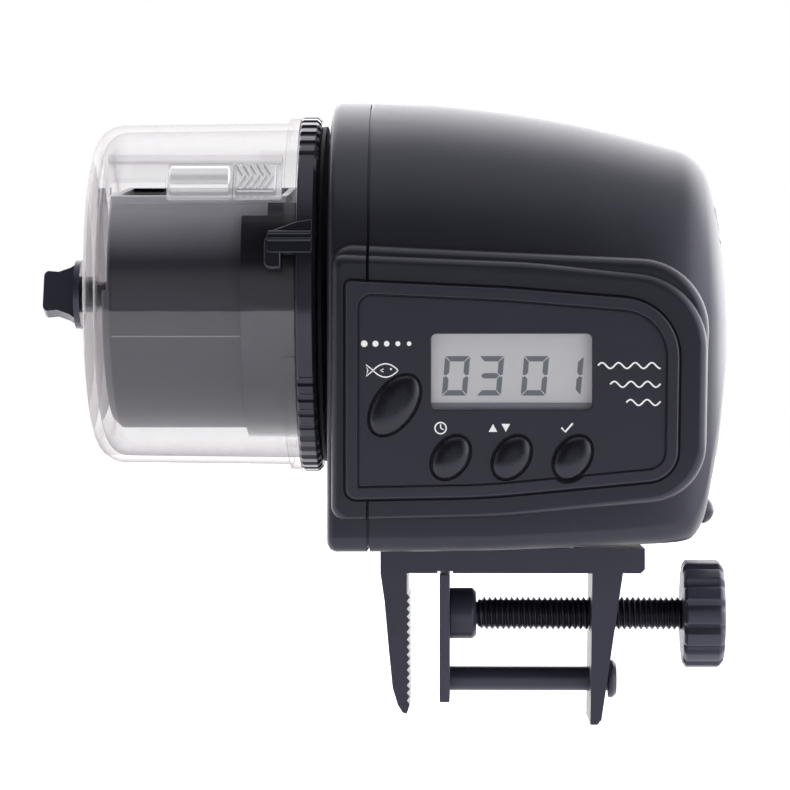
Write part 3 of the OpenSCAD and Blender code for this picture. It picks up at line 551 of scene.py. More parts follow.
brass = textured("brass", (0.72, 0.53, 0.24), 0.30, spread=0.08, metallic=1.0)
acetal = textured("acetal", (0.80, 0.78, 0.70), 0.42, spread=0.04)
frame_white = textured("frame_white", (0.66, 0.64, 0.57), 0.45, spread=0.05)
cam_red = textured("cam_red", (0.50, 0.035, 0.03), 0.30)
board_green = textured("board_green", (0.02, 0.16, 0.06), 0.30, spread=0.2, blotch_mm=2.5)
jacket_green = textured("jacket_green", (0.03, 0.19, 0.07), 0.25, spread=0.1, coat=0.3)
switch_black = textured("switch_black", (0.02, 0.02, 0.022), 0.45)
pink_rubber = textured("pink_rubber", (0.62, 0.29, 0.29), 0.65, spread=0.1)
wire_red = textured("wire_red", (0.42, 0.025, 0.02), 0.42)
canister_clear = clear_plastic("canister_clear", (0.988, 0.984, 0.988), (0.66, 0.61, 0.64))
slider_clear = milky_plastic("slider_clear", (0.85, 0.85, 0.87), 0.5)
rib_clear = milky_plastic("rib_clear", (0.85, 0.85, 0.87), 0.45)
window_clear = clear_plastic("window_clear", (0.98, 0.98, 0.98), (0.8, 0.8, 0.8), 0.08)


# ---- Housing: smooth skins from the stations


def monotone_cubic(t, values, at):
    """Values between the points of t on a curve that doesn't overshoot them."""
    step = np.diff(t)
    slope = np.diff(values) / step
    tangent = np.zeros(len(t))
    tangent[0], tangent[-1] = slope[0], slope[-1]
    for k in range(1, len(t) - 1):
        if slope[k - 1] * slope[k] > 0:
            before, after = step[k - 1], step[k]
            w1, w2 = 2 * after + before, after + 2 * before
            tangent[k] = (w1 + w2) / (w1 / slope[k - 1] + w2 / slope[k])
    k = np.clip(np.searchsorted(t, at) - 1, 0, len(t) - 2)
    s = (at - t[k]) / step[k]
    return (
        values[k] * (1 + 2 * s) * (1 - s) ** 2
        + tangent[k] * step[k] * s * (1 - s) ** 2
        + values[k + 1] * s**2 * (3 - 2 * s)
        + tangent[k + 1] * step[k] * s**2 * (s - 1)
    )


def smooth_rows(rows, spacing):
    """Rows between the given stations, about the spacing apart, on smooth curves."""
    rows = np.array(rows, float)
    chord = np.linalg.norm(np.diff(rows[:, [0, 1, 2, 4]], axis=0), axis=1)
    t = np.concatenate([[0], np.cumsum(chord)])
    at = np.unique(np.concatenate([np.linspace(0, t[-1], int(t[-1] / spacing)), t]))
    at = at[np.concatenate([[True], np.diff(at) > spacing / 4])]
    at[-1] = t[-1]
    return np.column_stack([monotone_cubic(t, rows[:, c], at) for c in range(rows.shape[1])])


def arch_ring(row):
    """Outline of the housing at one station: an arch with upright sides and a flat bottom."""
    x, half, top, level, low, radius = row
    arch_steps, corner_steps, side_steps = 72, 6, 8
    points = []
    for i in range(arch_steps + 1):
        a = math.pi * i / arch_steps
        points.append((x, half * math.cos(a), level + (top - level) * math.sin(a)))
    for i in range(1, side_steps):
        points.append((x, -half, level + (low + radius - level) * i / side_steps))
    for side, first in ((-1, 180), (1, 270)):
        for i in range(corner_steps + 1):
            a = math.radians(first + 90 * i / corner_steps)
            points.append((
                x, side * (half - radius) + radius * math.cos(a),
                low + radius + radius * math.sin(a),
            ))
    for i in range(1, side_steps):
        points.append((x, half, low + radius + (level - low - radius) * i / side_steps))
    return np.array(points)


def housing_skin():
    return loft([arch_ring(row) for row in smooth_rows(STATIONS, 1.0)])


def housing_cavity():
    _, half, top, level, low, _ = STATIONS[2]
    rows = [(STATIONS[0][0] + WALL, half - WALL, top - WALL, level, low + WALL, 1)]
    length = STATIONS[-1][0] - TAPER_START
    for x, half, top, level, low, radius in STATIONS[3:]:
        shift = WALL * max(0, (x - TAPER_START) / length)
        rows.append((x - shift, half - WALL, top - WALL, level, low + WALL, max(radius - WALL, 1)))
    return loft([arch_ring(row) for row in smooth_rows(rows, 1.6)])


def raised(corners, face_corners, front_y, fillet, back_y):
    """A block in the shape of corners, rounded over to the outline of its front face."""
    steps = 8
    outer, face = rounded(corners, 0, 14), rounded(face_corners, 0, 14)
    rings = []
    for i in range(steps + 1):
        a = math.pi / 2 * i / steps
        outline = outer + (face - outer) * (1 - math.sin(a))
        rings.append(at_y(outline, front_y + fillet * (1 - math.cos(a))))
    rings.append(at_y(outer, back_y))
    return loft(rings)


def flared(outline_at, y0, y1, flare):
    """A cutter along Y that opens out by flare at its front end, y0."""
    return loft([
        at_y(outline_at(flare + 1), y0 - 1), at_y(outline_at(0), y0 + flare),
        at_y(outline_at(0), y1),
    ])


def door_outline(gap, top, shoulder):
    """The door's outline seen along X, as y, z points."""
    low = span("battery_door")[0].z
    wide, tongue, corner = 17 + gap, 12.8 + gap, 1.2
    right = [
        (wide - corner, low - gap), (wide - 0.3 * corner, low - gap + 0.3 * corner),
        (wide, low - gap + corner), (wide, shoulder), (tongue, shoulder), (tongue, top),
    ]
    return np.array(right + [(-y, z) for y, z in reversed(right)])


def along_x(outline, x0, x1):
    return loft([np.column_stack([np.full(len(outline), x), outline]) for x in (x0, x1)])


def build_housing():
    outer = solid("housing", housing_skin())
    ledge_y, root_y = POD_Y + 1.6, POD_Y + 14
    ledge_fillet, pod_fillet = 2.2, 1.9
    join(outer, raised(LEDGE_CORNERS, LEDGE_FACE, ledge_y, ledge_fillet, root_y))
    join(outer, raised(POD_CORNERS, POD_FACE, POD_Y, pod_fillet, root_y))
    pod_room = slab(rounded(POD_CORNERS, WALL), POD_Y + WALL, root_y + 2)
    hollow = solid("hollow", housing_cavity())
    join(hollow, pod_room)
    wall = copy_of(outer, "wall")
    boolean(wall, [copy_of(hollow, "hollow_copy")], "DIFFERENCE")
    panel_gap, rim, chamfer = 0.28, 2.4, 0.18
    cut(
        wall,
        flared(lambda grow: rounded(PANEL_CORNERS, -panel_gap - grow), POD_Y, PANEL_BACK, chamfer),
        slab(rounded(PANEL_CORNERS, rim), POD_Y - 1, POD_Y + WALL + 1),
    )
    bpy.data.objects.remove(hollow)
    bpy.data.objects.remove(outer)
    return wall


BIG = 200
# Ends of the two shells on either side of the seam
FRONT_END, REAR_START = SEAM_X - 0.32, SEAM_X + 0.224


def on_seam(x):
    """Accepts the edges in the plane x that are on the outside of the wall."""
    def accept(a, b):
        middle = (a + b) / 2
        arch = math.hypot(middle.y, max(0, middle.z - AXIS_Z)) > 37
        outside = arch or middle.z < 6 or middle.y < POD_Y + 1.5
        return abs(a.x - x) < 0.01 and abs(b.x - x) < 0.01 and outside

    return accept


wall = build_housing()

front = copy_of(wall, "front_housing")
keep(front, block((-BIG, -BIG, -BIG), (FRONT_END, BIG, BIG)))
SEAT_R, SEAT_FLOOR, SHAFT_HOLE_R = 2.9, -16.2, 6.05
for y, z in CASE_BOSSES:
    cut(front, lathe_x([(-20, SEAT_R), (SEAT_FLOOR, SEAT_R)], z, y, 40))
cut(front, lathe_x([(-20, SHAFT_HOLE_R), (-10, SHAFT_HOLE_R)], AXIS_Z, 0, 64))
soften(front, 0.22, where=on_seam(FRONT_END))
dress(front, housing_black, "housing", ("front_cover",), 35)

# The opening's head is above the barrel, so that the door's own head has room to swing out
DOOR_HEAD, OPENING_HEAD = DOOR_PIVOT.z - 0.9, DOOR_PIVOT.z + 3.1
DOOR_SHOULDER = 64.5
door = copy_of(wall, "door_panel")
keep(door, along_x(door_outline(0, DOOR_HEAD, DOOR_SHOULDER), 50, BIG))
soften(door, 0.25, sharp=50)

rear = wall
rear.name = "rear_housing"
keep(rear, block((REAR_START, -BIG, -BIG), (BIG, BIG, BIG)))
cut(rear, along_x(door_outline(0.15, OPENING_HEAD, DOOR_SHOULDER + 0.9), 50, BIG))
soften(rear, 0.2, where=on_seam(REAR_START))
dress(rear, housing_black, "housing", ("main_shell",), 35)


def seam_lip():
    """The tongue behind the seam that keeps light out."""
    _, half, top, level, low, _ = STATIONS[2]
    outer, inner = [
        loft([
            arch_ring((x, half - shrink, top - shrink, level, low + shrink, 2))
            for x in (SEAM_X - reach, SEAM_X + reach)
        ])
        for shrink, reach in ((0.9, 1.6), (1.9, 2.4))
    ]
    return cut(solid("seam_lip", outer), inner)


dress(seam_lip(), housing_black, "housing")


dress(door, housing_black, "door", ("battery_door",), 35)
barrel, pin = [
    lathe_y(bevelled(-half, half, radius, 0.2), DOOR_PIVOT.x, DOOR_PIVOT.z)
    for half, radius in ((12.8, 1.75), (14.5, 0.9))
]
dress(merged("door_hinge", barrel, pin), housing_black, "door")
grip = solid("door_grip", lathe_y(round_ended(-6.8, 6.8, 2.8, 10), 54.6, 12.2))
keep(grip, block((53, -10, 9.6), (60, 10, 16)))
dress(grip, button_black, "door")
for name, y in (("door_ear_left", -15.95), ("door_ear_right", 12.95)):
    ear = solid(name, block(
        (DOOR_PIVOT.x - 2.8, y, DOOR_SHOULDER + 0.4), (60, y + 3, DOOR_PIVOT.z + 3.6)
    ))
    keep(ear, housing_skin())
    dress(soften(ear, 0.15), housing_black, "housing")


# ---- Control panel


BUTTON_LEAN = 35
FEED = ("feed_button", "feed_key", (-5.1, 33.1), 12.6, 7.3)
SMALL = [
    (name + "_button", name + "_key", (x, 23.3), 8.7, 6.1)
    for name, x in (("mode", 5.4), ("adjust", 16.8), ("set", 28.2))
]
BUTTONS = [FEED, *SMALL]
BUTTON_GAP = 0.35


def button_outline(centre, length, width, grow=0.0):
    return ellipse(centre, length + 2 * grow, width + 2 * grow, BUTTON_LEAN)


def window_outline(grow=0.0):
    corners = box_corners(WINDOW_LOW.x, WINDOW_LOW.z, WINDOW_HIGH.x, WINDOW_HIGH.z, 1.0)
    return rounded(corners, -grow, 6, 0.5)


def build_panel():
    # Inset from the panel's outline and depth: side, rounded rim, groove, sunk face
    profile = [
        (0.05, PANEL_BACK), (0.05, PANEL_FRONT + 0.4), (0.12, PANEL_FRONT + 0.15),
        (0.3, PANEL_FRONT + 0.02), (0.5, PANEL_FRONT), (2.0, PANEL_FRONT),
        (2.15, PANEL_FRONT + 0.06), (2.25, PANEL_FRONT + 0.25), (2.3, FACE_Y + 0.35),
        (2.5, FACE_Y + 0.35), (2.55, FACE_Y + 0.05), (2.7, FACE_Y),
    ]
    # The groove and the sunk face turn a wider corner at the upper left
    inner_corners = [(*PANEL_CORNERS[0][:2], 5.0), *PANEL_CORNERS[1:]]
    panel = solid("control_panel_face", loft([
        at_y(rounded(inner_corners if inset > 1.9 else PANEL_CORNERS, inset, 12), y)
        for inset, y in profile
    ]))
    cut(panel, flared(window_outline, FACE_Y, PANEL_BACK + 1, 0.12))
    for _, _, *oval in BUTTONS:
        cut(panel, flared(
            lambda grow: button_outline(*oval, BUTTON_GAP + grow), FACE_Y, PANEL_BACK + 1, 0.15
        ))
    soften(panel, 0)
    return dress(panel, panel_black, "housing", ("control_panel",), 30)


build_panel()


def build_button(node, body, centre, length, width):
    """A glossy pebble in an oval hole."""
    tip = span(node)[0].y
    base = FACE_Y - 0.25
    flange, flange_front = 0.7, PANEL_BACK + 0.2
    skirt = [(flange, PANEL_BACK + 1), (flange, flange_front), (0, flange_front), (0, base)]
    rings = [at_y(button_outline(centre, length, width, grow), y) for grow, y in skirt]
    steps = 16
    for i in range(1, steps + 1):
        share = math.cos(math.pi / 2 * i / (steps + 0.3))
        height = (1 - share**2.4) ** 0.55
        outline = button_outline(centre, length * share, width * share)
        rings.append(at_y(outline, base + (tip - base) * height))
    button = solid(node + "_cap", loft(rings))
    return dress(button, button_black, body, (node,), 50, weighted=False)


for entry in BUTTONS:
    build_button(*entry)


# ---- Display

DISPLAY_FRONT = span("lcd_display")[0].y
display = solid("lcd_glass", slab(
    rounded(box_corners(0.9, 31.4, 33.1, 47.3, 0.4)), DISPLAY_FRONT, DISPLAY_FRONT + 2.6
))
dress(soften(display, 0.1), lcd_grey, "housing", ("lcd_display",))

SEGMENTS = {"0": "abcdef", "1": "bc", "3": "abgcd"}
DIGIT_W, DIGIT_H, STROKE, SLANT = 4.7, 7.4, 1.0, 0.087
# Left edge of each digit from the window's left; the wide gap is the colon's
DIGIT_LEFT = (2.0, 8.4, 16.8, 23.3)


def segment(letter):
    """Outline of one display segment, in the digit's own x, z."""
    w, h, t = DIGIT_W, DIGIT_H, STROKE
    g = 0.16
    half = h / 2
    flat = [(g, 0), (w - g, 0), (w - t - g / 2, t), (t + g / 2, t)]
    if letter == "d":
        return flat
    if letter == "a":
        return [(x, h - z) for x, z in flat]
    if letter == "g":
        m = t / 2
        return [(g + m, half), (t + g, half + m), (w - t - g, half + m),
                (w - g - m, half), (w - t - g, half - m), (t + g, half - m)]
    tall = [
        (0, g), (t, t + g / 2), (t, half - t / 2 - g / 2), (t / 2, half - g / 2),
        (0, half - t / 4),
    ]
    if letter in "bc":
        tall = [(w - x, z) for x, z in tall]
    if letter in "bf":
        tall = [(x, h - z) for x, z in tall]
    return tall


def digits(text, z0):
    shapes = []
    for left, digit in zip(DIGIT_LEFT, text):
        for letter in SEGMENTS[digit]:
            outline = [
                (WINDOW_LOW.x + left + x + SLANT * z, z0 + z) for x, z in segment(letter)
            ]
            shapes.append(slab(outline, DISPLAY_FRONT - 0.03, DISPLAY_FRONT + 0.02))
    return merged("lcd_digits", *shapes)


dress(digits("0301", WINDOW_LOW.z + 2.7), lcd_ink, "housing", weighted=False)
band = block(
    (WINDOW_LOW.x, DISPLAY_FRONT - 0.12, WINDOW_LOW.z),
    (WINDOW_HIGH.x, DISPLAY_FRONT + 0.02, WINDOW_LOW.z + 1.35),
)
dress(solid("lcd_lower_edge", band), lcd_edge, "housing", weighted=False)

cover = solid("lcd_cover", slab(window_outline(-0.06), WINDOW_LOW.y, WINDOW_HIGH.y))
dress(soften(cover, 0.12), window_clear, "housing", ("lcd_window",))


# ---- Printed marks: generic signs in place of words

INK = 0.03


def printed(outline):
    """A flat mark that stands as proud of the panel as ink."""
    return slab(outline, FACE_Y - INK, FACE_Y + 0.05)


def stroke(points, width, closed=False):
    """A printed line of even width along x, z points, with square ends."""
    points = np.array(points, float)
    count = len(points)
    sides = []
    for i in range(count):
        before = points[i - 1] if closed or i else points[i]
        after = points[(i + 1) % count] if closed or i < count - 1 else points[i]
        direction = unit(after - before)
        sides.append(np.array([-direction[1], direction[0]]) * width / 2)
    sides = np.array(sides)
    left, right = points + sides, points - sides
    shapes = []
    for i in range(count if closed else count - 1):
        j = (i + 1) % count
        shapes.append(printed([left[i], left[j], right[j], right[i]]))
    return shapes


def dot(x, z, radius):
    return printed(ellipse((x, z), 2 * radius, 2 * radius, 0, 20))


def wave(x0, x1, z, swing, length):
    waves = (x1 - x0) / length
    count = int(waves * 10)
    shares = [i / count for i in range(count + 1)]
    return [
        (x0 + (x1 - x0) * t, z + swing * math.sin(2 * math.pi * waves * t)) for t in shares
    ]


def fish_sign(x, z):
    """A plain fish facing right: a lens-shaped body, a tail, an eye and one fin."""
    nose, tail, girth, line = x + 3.0, x - 1.6, 1.25, 0.24
    steps = 18
    body = []
    for i in range(2 * steps):
        side = 1 if i <= steps else -1
        t = i / steps if i <= steps else 2 - i / steps
        height = side * girth * math.sin(math.pi * t) ** 0.8
        body.append((nose + (tail - nose) * t, z + height))
    shapes = stroke(body, line, closed=True)
    fins = [(tail, z), (x - 3.0, z + 1.1), (x - 2.6, z), (x - 3.0, z - 1.1), (tail, z)]
    shapes += stroke(fins, line)
    shapes.append(dot(x + 1.7, z + 0.25, 0.2))
    shapes += stroke([(x + 0.3, z + 0.3), (x - 0.3, z), (x + 0.3, z - 0.3)], 0.2)
    return shapes


def marks():
    shapes = fish_sign(-7.5, 39.6)
    # Food pellets above the fish, in a row
    for i in range(5):
        shapes.append(dot(-10.8 + i * 2.1, 44.6, 0.62 - 0.05 * i))
    # Clock face for choosing the mode
    shapes += stroke(ellipse((3.5, 28.8), 2.1, 2.1, 90, 28), 0.26, closed=True)
    shapes += stroke([(3.5, 29.5), (3.5, 28.8), (4.05, 28.5)], 0.24)
    # Up and down arrowheads for adjusting
    shapes.append(printed([(12.5, 28.1), (14.1, 28.1), (13.3, 29.6)]))
    shapes.append(printed([(14.9, 29.6), (16.5, 29.6), (15.7, 28.1)]))
    # Tick for setting
    shapes += stroke([(26.1, 28.9), (26.8, 28.1), (28.2, 29.7)], 0.36)
    # Ripples beside the display
    for x0, z in ((32.9, 40.5), (35.2, 37.0), (38.2, 33.6)):
        shapes += stroke(wave(x0, 44.6, z, 0.55, 3.1), 0.3)
    return merged("panel_marks", *shapes)


dress(marks(), print_white, "housing", weighted=False)


# ---- Canister, rotor and ring

RING_LOW, RING_HIGH = span("drum_ring")
RING_LEFT, RING_RIGHT, RING_R = -24.2, RING_HIGH.x, 35.4
RIB_COUNT = 60
# The ring has no ribs from the first to the second angle about each catch
FLAT_SECTOR = (-28, 44)
CATCH_SPACING = 180


def wrapped(shape, radius):
    """Bends a shape given as x, arc length, height about the canister's axis."""
    points, faces = shape
    points = np.asarray(points, float)
    angle, reach = points[:, 1] / radius, radius + points[:, 2]
    bent = np.column_stack([
        points[:, 0], -reach * np.cos(angle), AXIS_Z + reach * np.sin(angle)
    ])
    return bent, faces


def plate(outline, base, top, edge):
    """A plate in x, arc length with a rounded upper edge; outline has rounded corners."""
    levels = [(0, base)]
    for i in range(5):
        a = math.pi / 2 * i / 4
        levels.append((edge * (1 - math.cos(a)), top - edge * (1 - math.sin(a))))
    rings = []
    for inset, height in levels:
        flat = rounded(outline, inset, 6)
        rings.append(np.column_stack([flat, np.full(len(flat), height)]))
    return loft(rings)


def rib_depth(steps):
    """How far each step round the ring sinks into a groove between two ribs."""
    ribs = np.arange(steps) * RIB_COUNT / steps
    phase = (ribs + 0.5) % 1 - 0.5
    half_width, depth = 0.27, 0.62
    groove = np.clip(1 - (phase / half_width) ** 2, 0, 1) ** 0.5
    centre = np.round(ribs) * 360 / RIB_COUNT
    first, last = FLAT_SECTOR
    ribbed = (centre - first) % CATCH_SPACING > last - first
    return depth * groove * ribbed


def build_ring():
    steps = RIB_COUNT * 14
    sink = rib_depth(steps)
    bore = 8.3
    # Place, radius, and the share of the grooves' depth that is cut there
    profile = [
        (RING_LEFT, bore, 0), (RING_LEFT, RING_R - 1.2, 0), (RING_LEFT + 0.06, RING_R - 0.5, 1),
        (RING_LEFT + 0.2, RING_R - 0.2, 1), (RING_LEFT + 0.5, RING_R, 1),
        (RING_RIGHT - 0.85, RING_R, 1), (RING_RIGHT - 0.75, RING_R - 0.08, 1),
        (RING_RIGHT - 0.1, RING_R - 0.75, 0.8), (RING_RIGHT, RING_R - 1.0, 0.6),
        (RING_RIGHT, bore, 0),
    ]
    ring = solid("knurled_ring", loft([
        around_x(x, r - share * sink, AXIS_Z, 0, steps, -1) for x, r, share in profile
    ]))
    return dress(ring, ring_black, "turntable", ("drum_ring",), 38)


build_ring()


def build_sleeve():
    """The tube on the ring that the rotor's open end turns in."""
    outer_r, inner_r = 28.6, 27.2
    step_x, low_top, high_top = -30, AXIS_Z + 14.4, AXIS_Z + 17
    sleeve = solid("ring_sleeve", lathe_x(
        [(RING_LOW.x, outer_r), (RING_LEFT + 0.1, outer_r)], AXIS_Z
    ))
    cut(
        sleeve, lathe_x([(RING_LOW.x - 1, inner_r), (RING_LEFT + 1, inner_r)], AXIS_Z),
        block((step_x - 6, -BIG, low_top), (step_x, BIG, BIG)),
        block((step_x - 0.1, -BIG, high_top), (RING_LEFT - 0.01, BIG, BIG)),
    )
    return dress(soften(sleeve, 0.15), ring_black, "turntable")


build_sleeve()


def build_catch(name, on_back):
    """A bayonet catch: hooked pad, bar with two ridges, and a ramp up to the ring."""
    radius = 34.6
    degree = math.radians(1) * radius
    left, right = -30.1, RING_RIGHT - 0.75

    def part(corners, *levels):
        """A plate from corners in x, degrees about the axis, corner radius."""
        return plate([(x, angle * degree, r) for x, angle, r in corners], *levels)

    pad = part([
        (left, 16.5, 1.6), (-26.8, 16.5, 0.4), (-26.8, 6, 0.5), (left, 6, 1.4),
    ], -0.4, 1.5, 0.45)
    bar = part([
        (left + 0.5, 17.2, 0.6), (right, 17.2, 0.2), (right, 10.8, 0.2), (left + 0.5, 10.8, 0.6),
    ], -0.6, 1.55, 0.25)
    ramp = part([
        (left + 0.8, 17.6, 0.3), (RING_LEFT, 21, 1.5), (right, 22, 0.2), (right, 16, 0.2),
        (left + 0.8, 16, 0.3),
    ], -0.6, 1.1, 0.3)
    ridge = round_ended(left + 0.6, right, 0.42, 5)
    ridges = [lathe_x(ridge, 1.5, angle * degree, 14) for angle in (14.9, 17.0)]
    base = solid(name, wrapped(pad, radius))
    join(base, *[wrapped(shape, radius) for shape in (bar, ramp, *ridges)])
    if on_back:
        for vertex in base.data.vertices:
            x, y, z = vertex.co
            vertex.co = (x, -y, 2 * AXIS_Z * MM - z)
    soften(base, 0)
    return dress(base, ring_black, "turntable", crease=35)


build_catch("ring_catch_front", on_back=False)
build_catch("ring_catch_back", on_back=True)

refined("drive_hub", "drive_disc", 0.2, hub_black, "turntable")
refined("metering_rotor", "rotor_cup", 0.3, rotor_black, "rotor")
refined("end_knob", "turn_knob", 0.35, knob_black, "rotor", 28)


def rotor_seam():
    """The fine mould line along the rotor, a little below its axis; the ridge is real, and its
    pale grey is a painted highlight.
    """
    low, high = span("metering_rotor")
    drop, radius, sunk = 8.9, 0.13, 0.06
    y = -math.sqrt(((high.y - low.y) / 2) ** 2 - drop**2)
    return lathe_x([(low.x + 2, radius), (high.x, radius)], AXIS_Z - drop, y + sunk, 16)


dress(solid("rotor_seam", rotor_seam()), seam_highlight_grey, "rotor")


# ---- Outlet slider

SLIDER_ANGLE = math.radians(36.5)
SLIDER_LOW, SLIDER_HIGH = span("outlet_slider")


def build_slider():
    """A clear gate with a half-round rib, and a milky thumb rest with chevrons."""
    radius = 34.35
    middle = SLIDER_ANGLE * radius
    left, right = SLIDER_LOW.x, SLIDER_HIGH.x
    rest = left + 12.6
    below = lathe_x([(left - 2, radius), (right + 2, radius)], AXIS_Z, 0, 192)

    def strip(x0, x1, half=4.5, base=0.02, top=0.98, edge=0.2, corner=0.5):
        corners = box_corners(x0, middle - half, x1, middle + half, corner)
        return wrapped(plate(corners, base, top, edge), radius)

    gate = solid("outlet_gate", strip(left, rest))
    rib = bevelled(left + 0.5, rest - 0.4, 3.1, 0.35)
    join(gate, wrapped(lathe_x(rib, 0.3, middle, 28), radius))
    cut(gate, below)
    thumb = solid("thumb_rest", strip(rest, right))
    parts = [strip(rest + 0.4, right - 1.0, 3.2, 0.5, 1.9, 0.5, 0.8)]
    chevron = np.array([(-1.5, -2.6), (0, 0), (-1.5, 2.6), (-0.9, 2.6), (0.6, 0), (-0.9, -2.6)])
    for i in range(5):
        flat = chevron + [rest + 2.0 + i * 1.35, middle]
        rings = [np.column_stack([flat, np.full(len(flat), height)]) for height in (1.5, 2.6)]
        parts.append(wrapped(loft(rings), radius))
    join(thumb, *parts)
    cut(thumb, below)
    dress(soften(gate, 0.06, 40), rib_clear, "slider", ("outlet_slider",), 35)
    dress(soften(thumb, 0.06, 40), slider_clear, "slider", crease=35)


build_slider()


# ---- Clamp

refined("clamp_frame", "clamp_body", 0.22, clamp_black, "housing")
refined("pressure_plate", "jaw_plate", 0.25, jaw_black, "jaw")
refined("swivel_socket", "jaw_socket", 0.25, clamp_black, "jaw")
refined("guide_rod", "jaw_guide", 0.2, clamp_black, "jaw")


def threaded_rod():
    """A right-hand thread: the radius follows the angle about the axis."""
    low, high = span("clamp_screw")
    crest = (high.y - low.y) / 2
    depth, pitch = 0.6, 1.1
    start, end = span("swivel_socket")[1].x + 0.3, span("clamp_knob")[0].x + 0.4
    steps, rows = 40, 12
    angles = np.arange(steps) * 2 * math.pi / steps
    tip_r, neck_r, neck_x = 2.9, 2.3, 7.8
    rings = [around_x(x, r, SCREW_Z, steps=steps) for x, r in (
        (low.x, tip_r - 0.3), (low.x + 0.3, tip_r), (neck_x - 0.1, tip_r), (neck_x, neck_r),
        (start - 0.1, neck_r),
    )]
    count = int((end - start) / pitch * rows)
    for i in range(count + 1):
        x = start + (end - start) * i / count
        phase = (x / pitch - angles / (2 * math.pi)) % 1
        height = np.clip(2.6 * (0.5 - np.abs(phase - 0.5)) - 0.12, 0, 1)
        fade = min(1, (x - start) / pitch)
        rings.append(around_x(x, crest - depth + depth * height * fade, SCREW_Z, steps=steps))
    rings.append(around_x(high.x, crest - depth, SCREW_Z, steps=steps))
    return loft(rings)


screw = solid("threaded_rod", threaded_rod())
dress(screw, thread_black, "screw", ("clamp_screw",), 60, weighted=False)


def knob():
    """A hand knob: broad ribs with narrow grooves, a bevelled rim and a sunk end."""
    low, high = span("clamp_knob")
    radius, groove_depth = 10.7, 0.95
    ribs, per_rib = 14, 20
    steps = ribs * per_rib
    phase = np.abs((np.arange(steps) / per_rib) % 1 - 0.5) * 2
    groove = np.clip((0.42 - phase) / 0.42, 0, 1) ** 0.6
    profile = [
        (low.x, 0.5, 0), (low.x, 5.0, 0), (low.x, 9.2, 0.35), (low.x + 0.15, 9.9, 0.8),
        (low.x + 0.7, radius, 1), (high.x - 1.3, radius, 1), (high.x - 0.9, radius - 0.15, 0.95),
        (high.x - 0.1, radius - 1.15, 0.35), (high.x, radius - 1.5, 0.15),
        (high.x, radius - 2.9, 0), (high.x - 0.15, radius - 3.2, 0),
        (high.x - 0.8, radius - 3.8, 0), (high.x - 0.8, 3.4, 0), (high.x - 0.5, 3.1, 0),
        (high.x - 0.5, 0.5, 0),
    ]
    return loft([
        around_x(x, r - groove_depth * share * groove, SCREW_Z, steps=steps)
        for x, r, share in profile
    ])


dress(solid("hand_knob", knob()), clamp_black, "screw", ("clamp_knob",), 42)


# ---- Battery cells

CELLS_LOW, CELLS_HIGH = span("battery_cells")


def build_cells():
    """Two AA cells, one the right way up and one upside down."""
    radius = (CELLS_HIGH.x - CELLS_LOW.x) / 2
    length, nub, crimp = 49.5, 1.0, 0.5
    # Profiles along a cell, from the shoulder at its positive end
    jacket = [
        (crimp, radius - 0.5), (crimp * 0.4, radius - 0.35), (crimp, radius),
        (length - crimp, radius), (length - 0.4 * crimp, radius - 0.35),
        (length - crimp, radius - 0.5),
    ]
    core = [
        (-nub, 2.2), (0.3 - nub, 2.55), (0.1, 2.6), (0.15, radius - 0.9),
        (0.4, radius - 0.55), (length - 0.3, radius - 0.55), (length, radius - 0.9),
    ]
    jackets, ends = [], []
    for side, tip, way in ((1, CELLS_HIGH.z, -1), (-1, CELLS_LOW.z, 1)):
        centre = (CELLS_LOW.x + radius, side * (CELLS_HIGH.y - radius))
        for profile, shapes in ((jacket, jackets), (core, ends)):
            upright = [(tip + way * (nub + step), r) for step, r in profile]
            shapes.append(lathe_z(upright, *centre))
    dress(merged("cell_jackets", *jackets), jacket_green, "housing",
          ("battery_cells",))
    dress(merged("cell_ends", *ends), nickel, "housing")


build_cells()


# ---- Materials of the CAD nodes that show as they are

CAD_MATERIALS = [
    (steel, ("board_screws", "gear_pillars", "gear_screws", "motor_can", "idler_axle",
             "drive_shaft", "shaft_clip", "rotor_screw", "case_screws", "clamp_mount_screws")),
    (acetal, ("drive_pinion", "idler_gear", "output_gear")),
    (brass, ("motor_gearhead", "shaft_bushes")),
    (nickel, ("battery_contacts",)),
    (frame_white, ("gear_plate_front", "gear_plate_back")),
    (switch_black, ("tact_switches", "battery_tray", "position_switch")),
    (cam_red, ("position_cam",)),
    (board_green, ("control_board",)),
    (pink_rubber, ("zebra_strip",)),
    (wire_red, ("motor_wires", "battery_wires")),
    (canister_clear, ("drum_shell",)),
]
for material, nodes in CAD_MATERIALS:
    for node in nodes:
        frame["nodes"][node].data.materials.clear()
        frame["nodes"][node].data.materials.append(material)


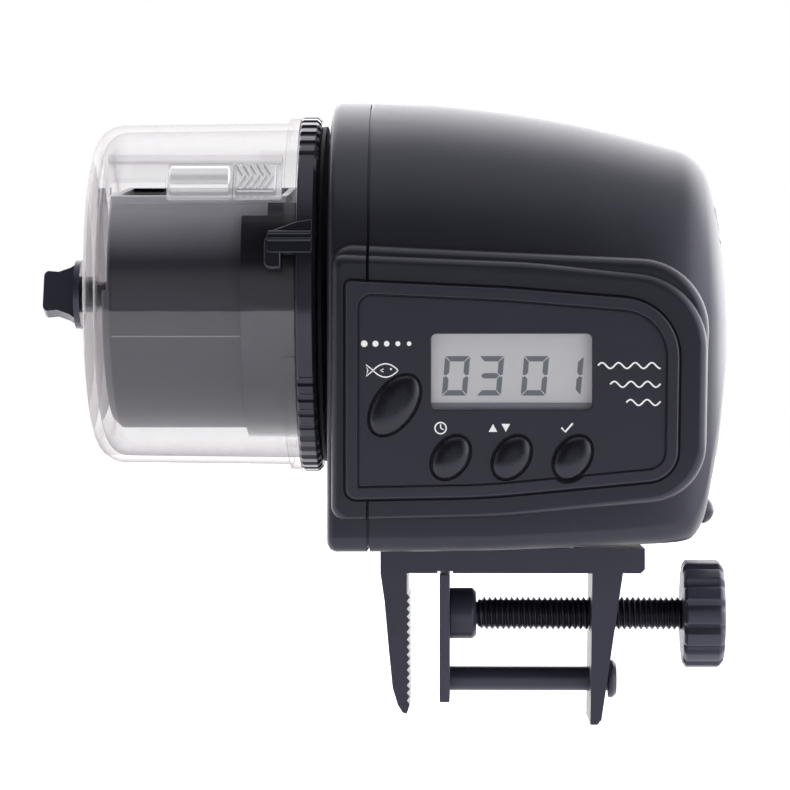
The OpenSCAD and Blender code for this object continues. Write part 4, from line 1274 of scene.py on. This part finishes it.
# ---- Stage: pale floor, white room, dim on the camera's side

FLOOR_Z = span("clamp_frame")[0].z - 12


def build_floor():
    floor = solid("floor", block((-2500, -430, FLOOR_Z - 4), (2500, 3500, FLOOR_Z)))
    material, tree = new_material("pale_floor")
    set_inputs(tree.nodes["Principled BSDF"], {
        "Base Color": (0.75, 0.75, 0.75, 1), "Roughness": 0.8,
        "Emission Color": (1, 1, 1, 1), "Emission Strength": 0.62,
    })
    floor.data.materials.append(material)


build_floor()


def build_room():
    """Light by direction: white behind and above, strong from the right, dim in front."""
    world = bpy.data.worlds.new("studio")
    bpy.context.scene.world = world
    world.use_nodes = True
    tree = world.node_tree
    tree.nodes.clear()
    x, y, z = axes_of(tree, "Generated")
    total = 0.03
    for lamp in (
        (y, 0.15, 0.75, 0, 3.2),  # behind
        (z, 0.66, 0.98, 0, 1.0),  # above
        (x, 0.40, 0.95, 0, 3.1),  # right
        (x, -0.93, -0.7, 0.7, 0),  # left
        (y, -0.995, -0.93, 0.42, 0),  # beside the camera
    ):
        total = math_node(tree, "ADD", total, ramp_node(tree, *lamp))
    white = (1, 1, 1, 1)
    light = new_node(tree, "ShaderNodeBackground", Color=white)
    link(tree, total, light.inputs["Strength"])
    backdrop = new_node(tree, "ShaderNodeBackground", Color=white, Strength=1.0)
    seen = new_node(tree, "ShaderNodeLightPath").outputs["Is Camera Ray"]
    output = new_node(tree, "ShaderNodeOutputWorld")
    shader_mix(tree, seen, light.outputs[0], backdrop.outputs[0], output)


build_room()


def build_camera():
    data = bpy.data.cameras.new("camera")
    data.sensor_width = 36
    data.lens = 148.1
    data.clip_start, data.clip_end = 0.01, 50
    camera = placed("camera", data)
    camera.location = Vector((9, -650, 35)) * MM
    aim = Vector((-6, 0, 35)) * MM
    camera.rotation_mode = "QUATERNION"
    camera.rotation_quaternion = (aim - camera.location).to_track_quat("-Z", "Y")
    bpy.context.scene.camera = camera


build_camera()
bpy.context.scene.view_settings.view_transform = "Standard"

bpy.context.view_layer.update()
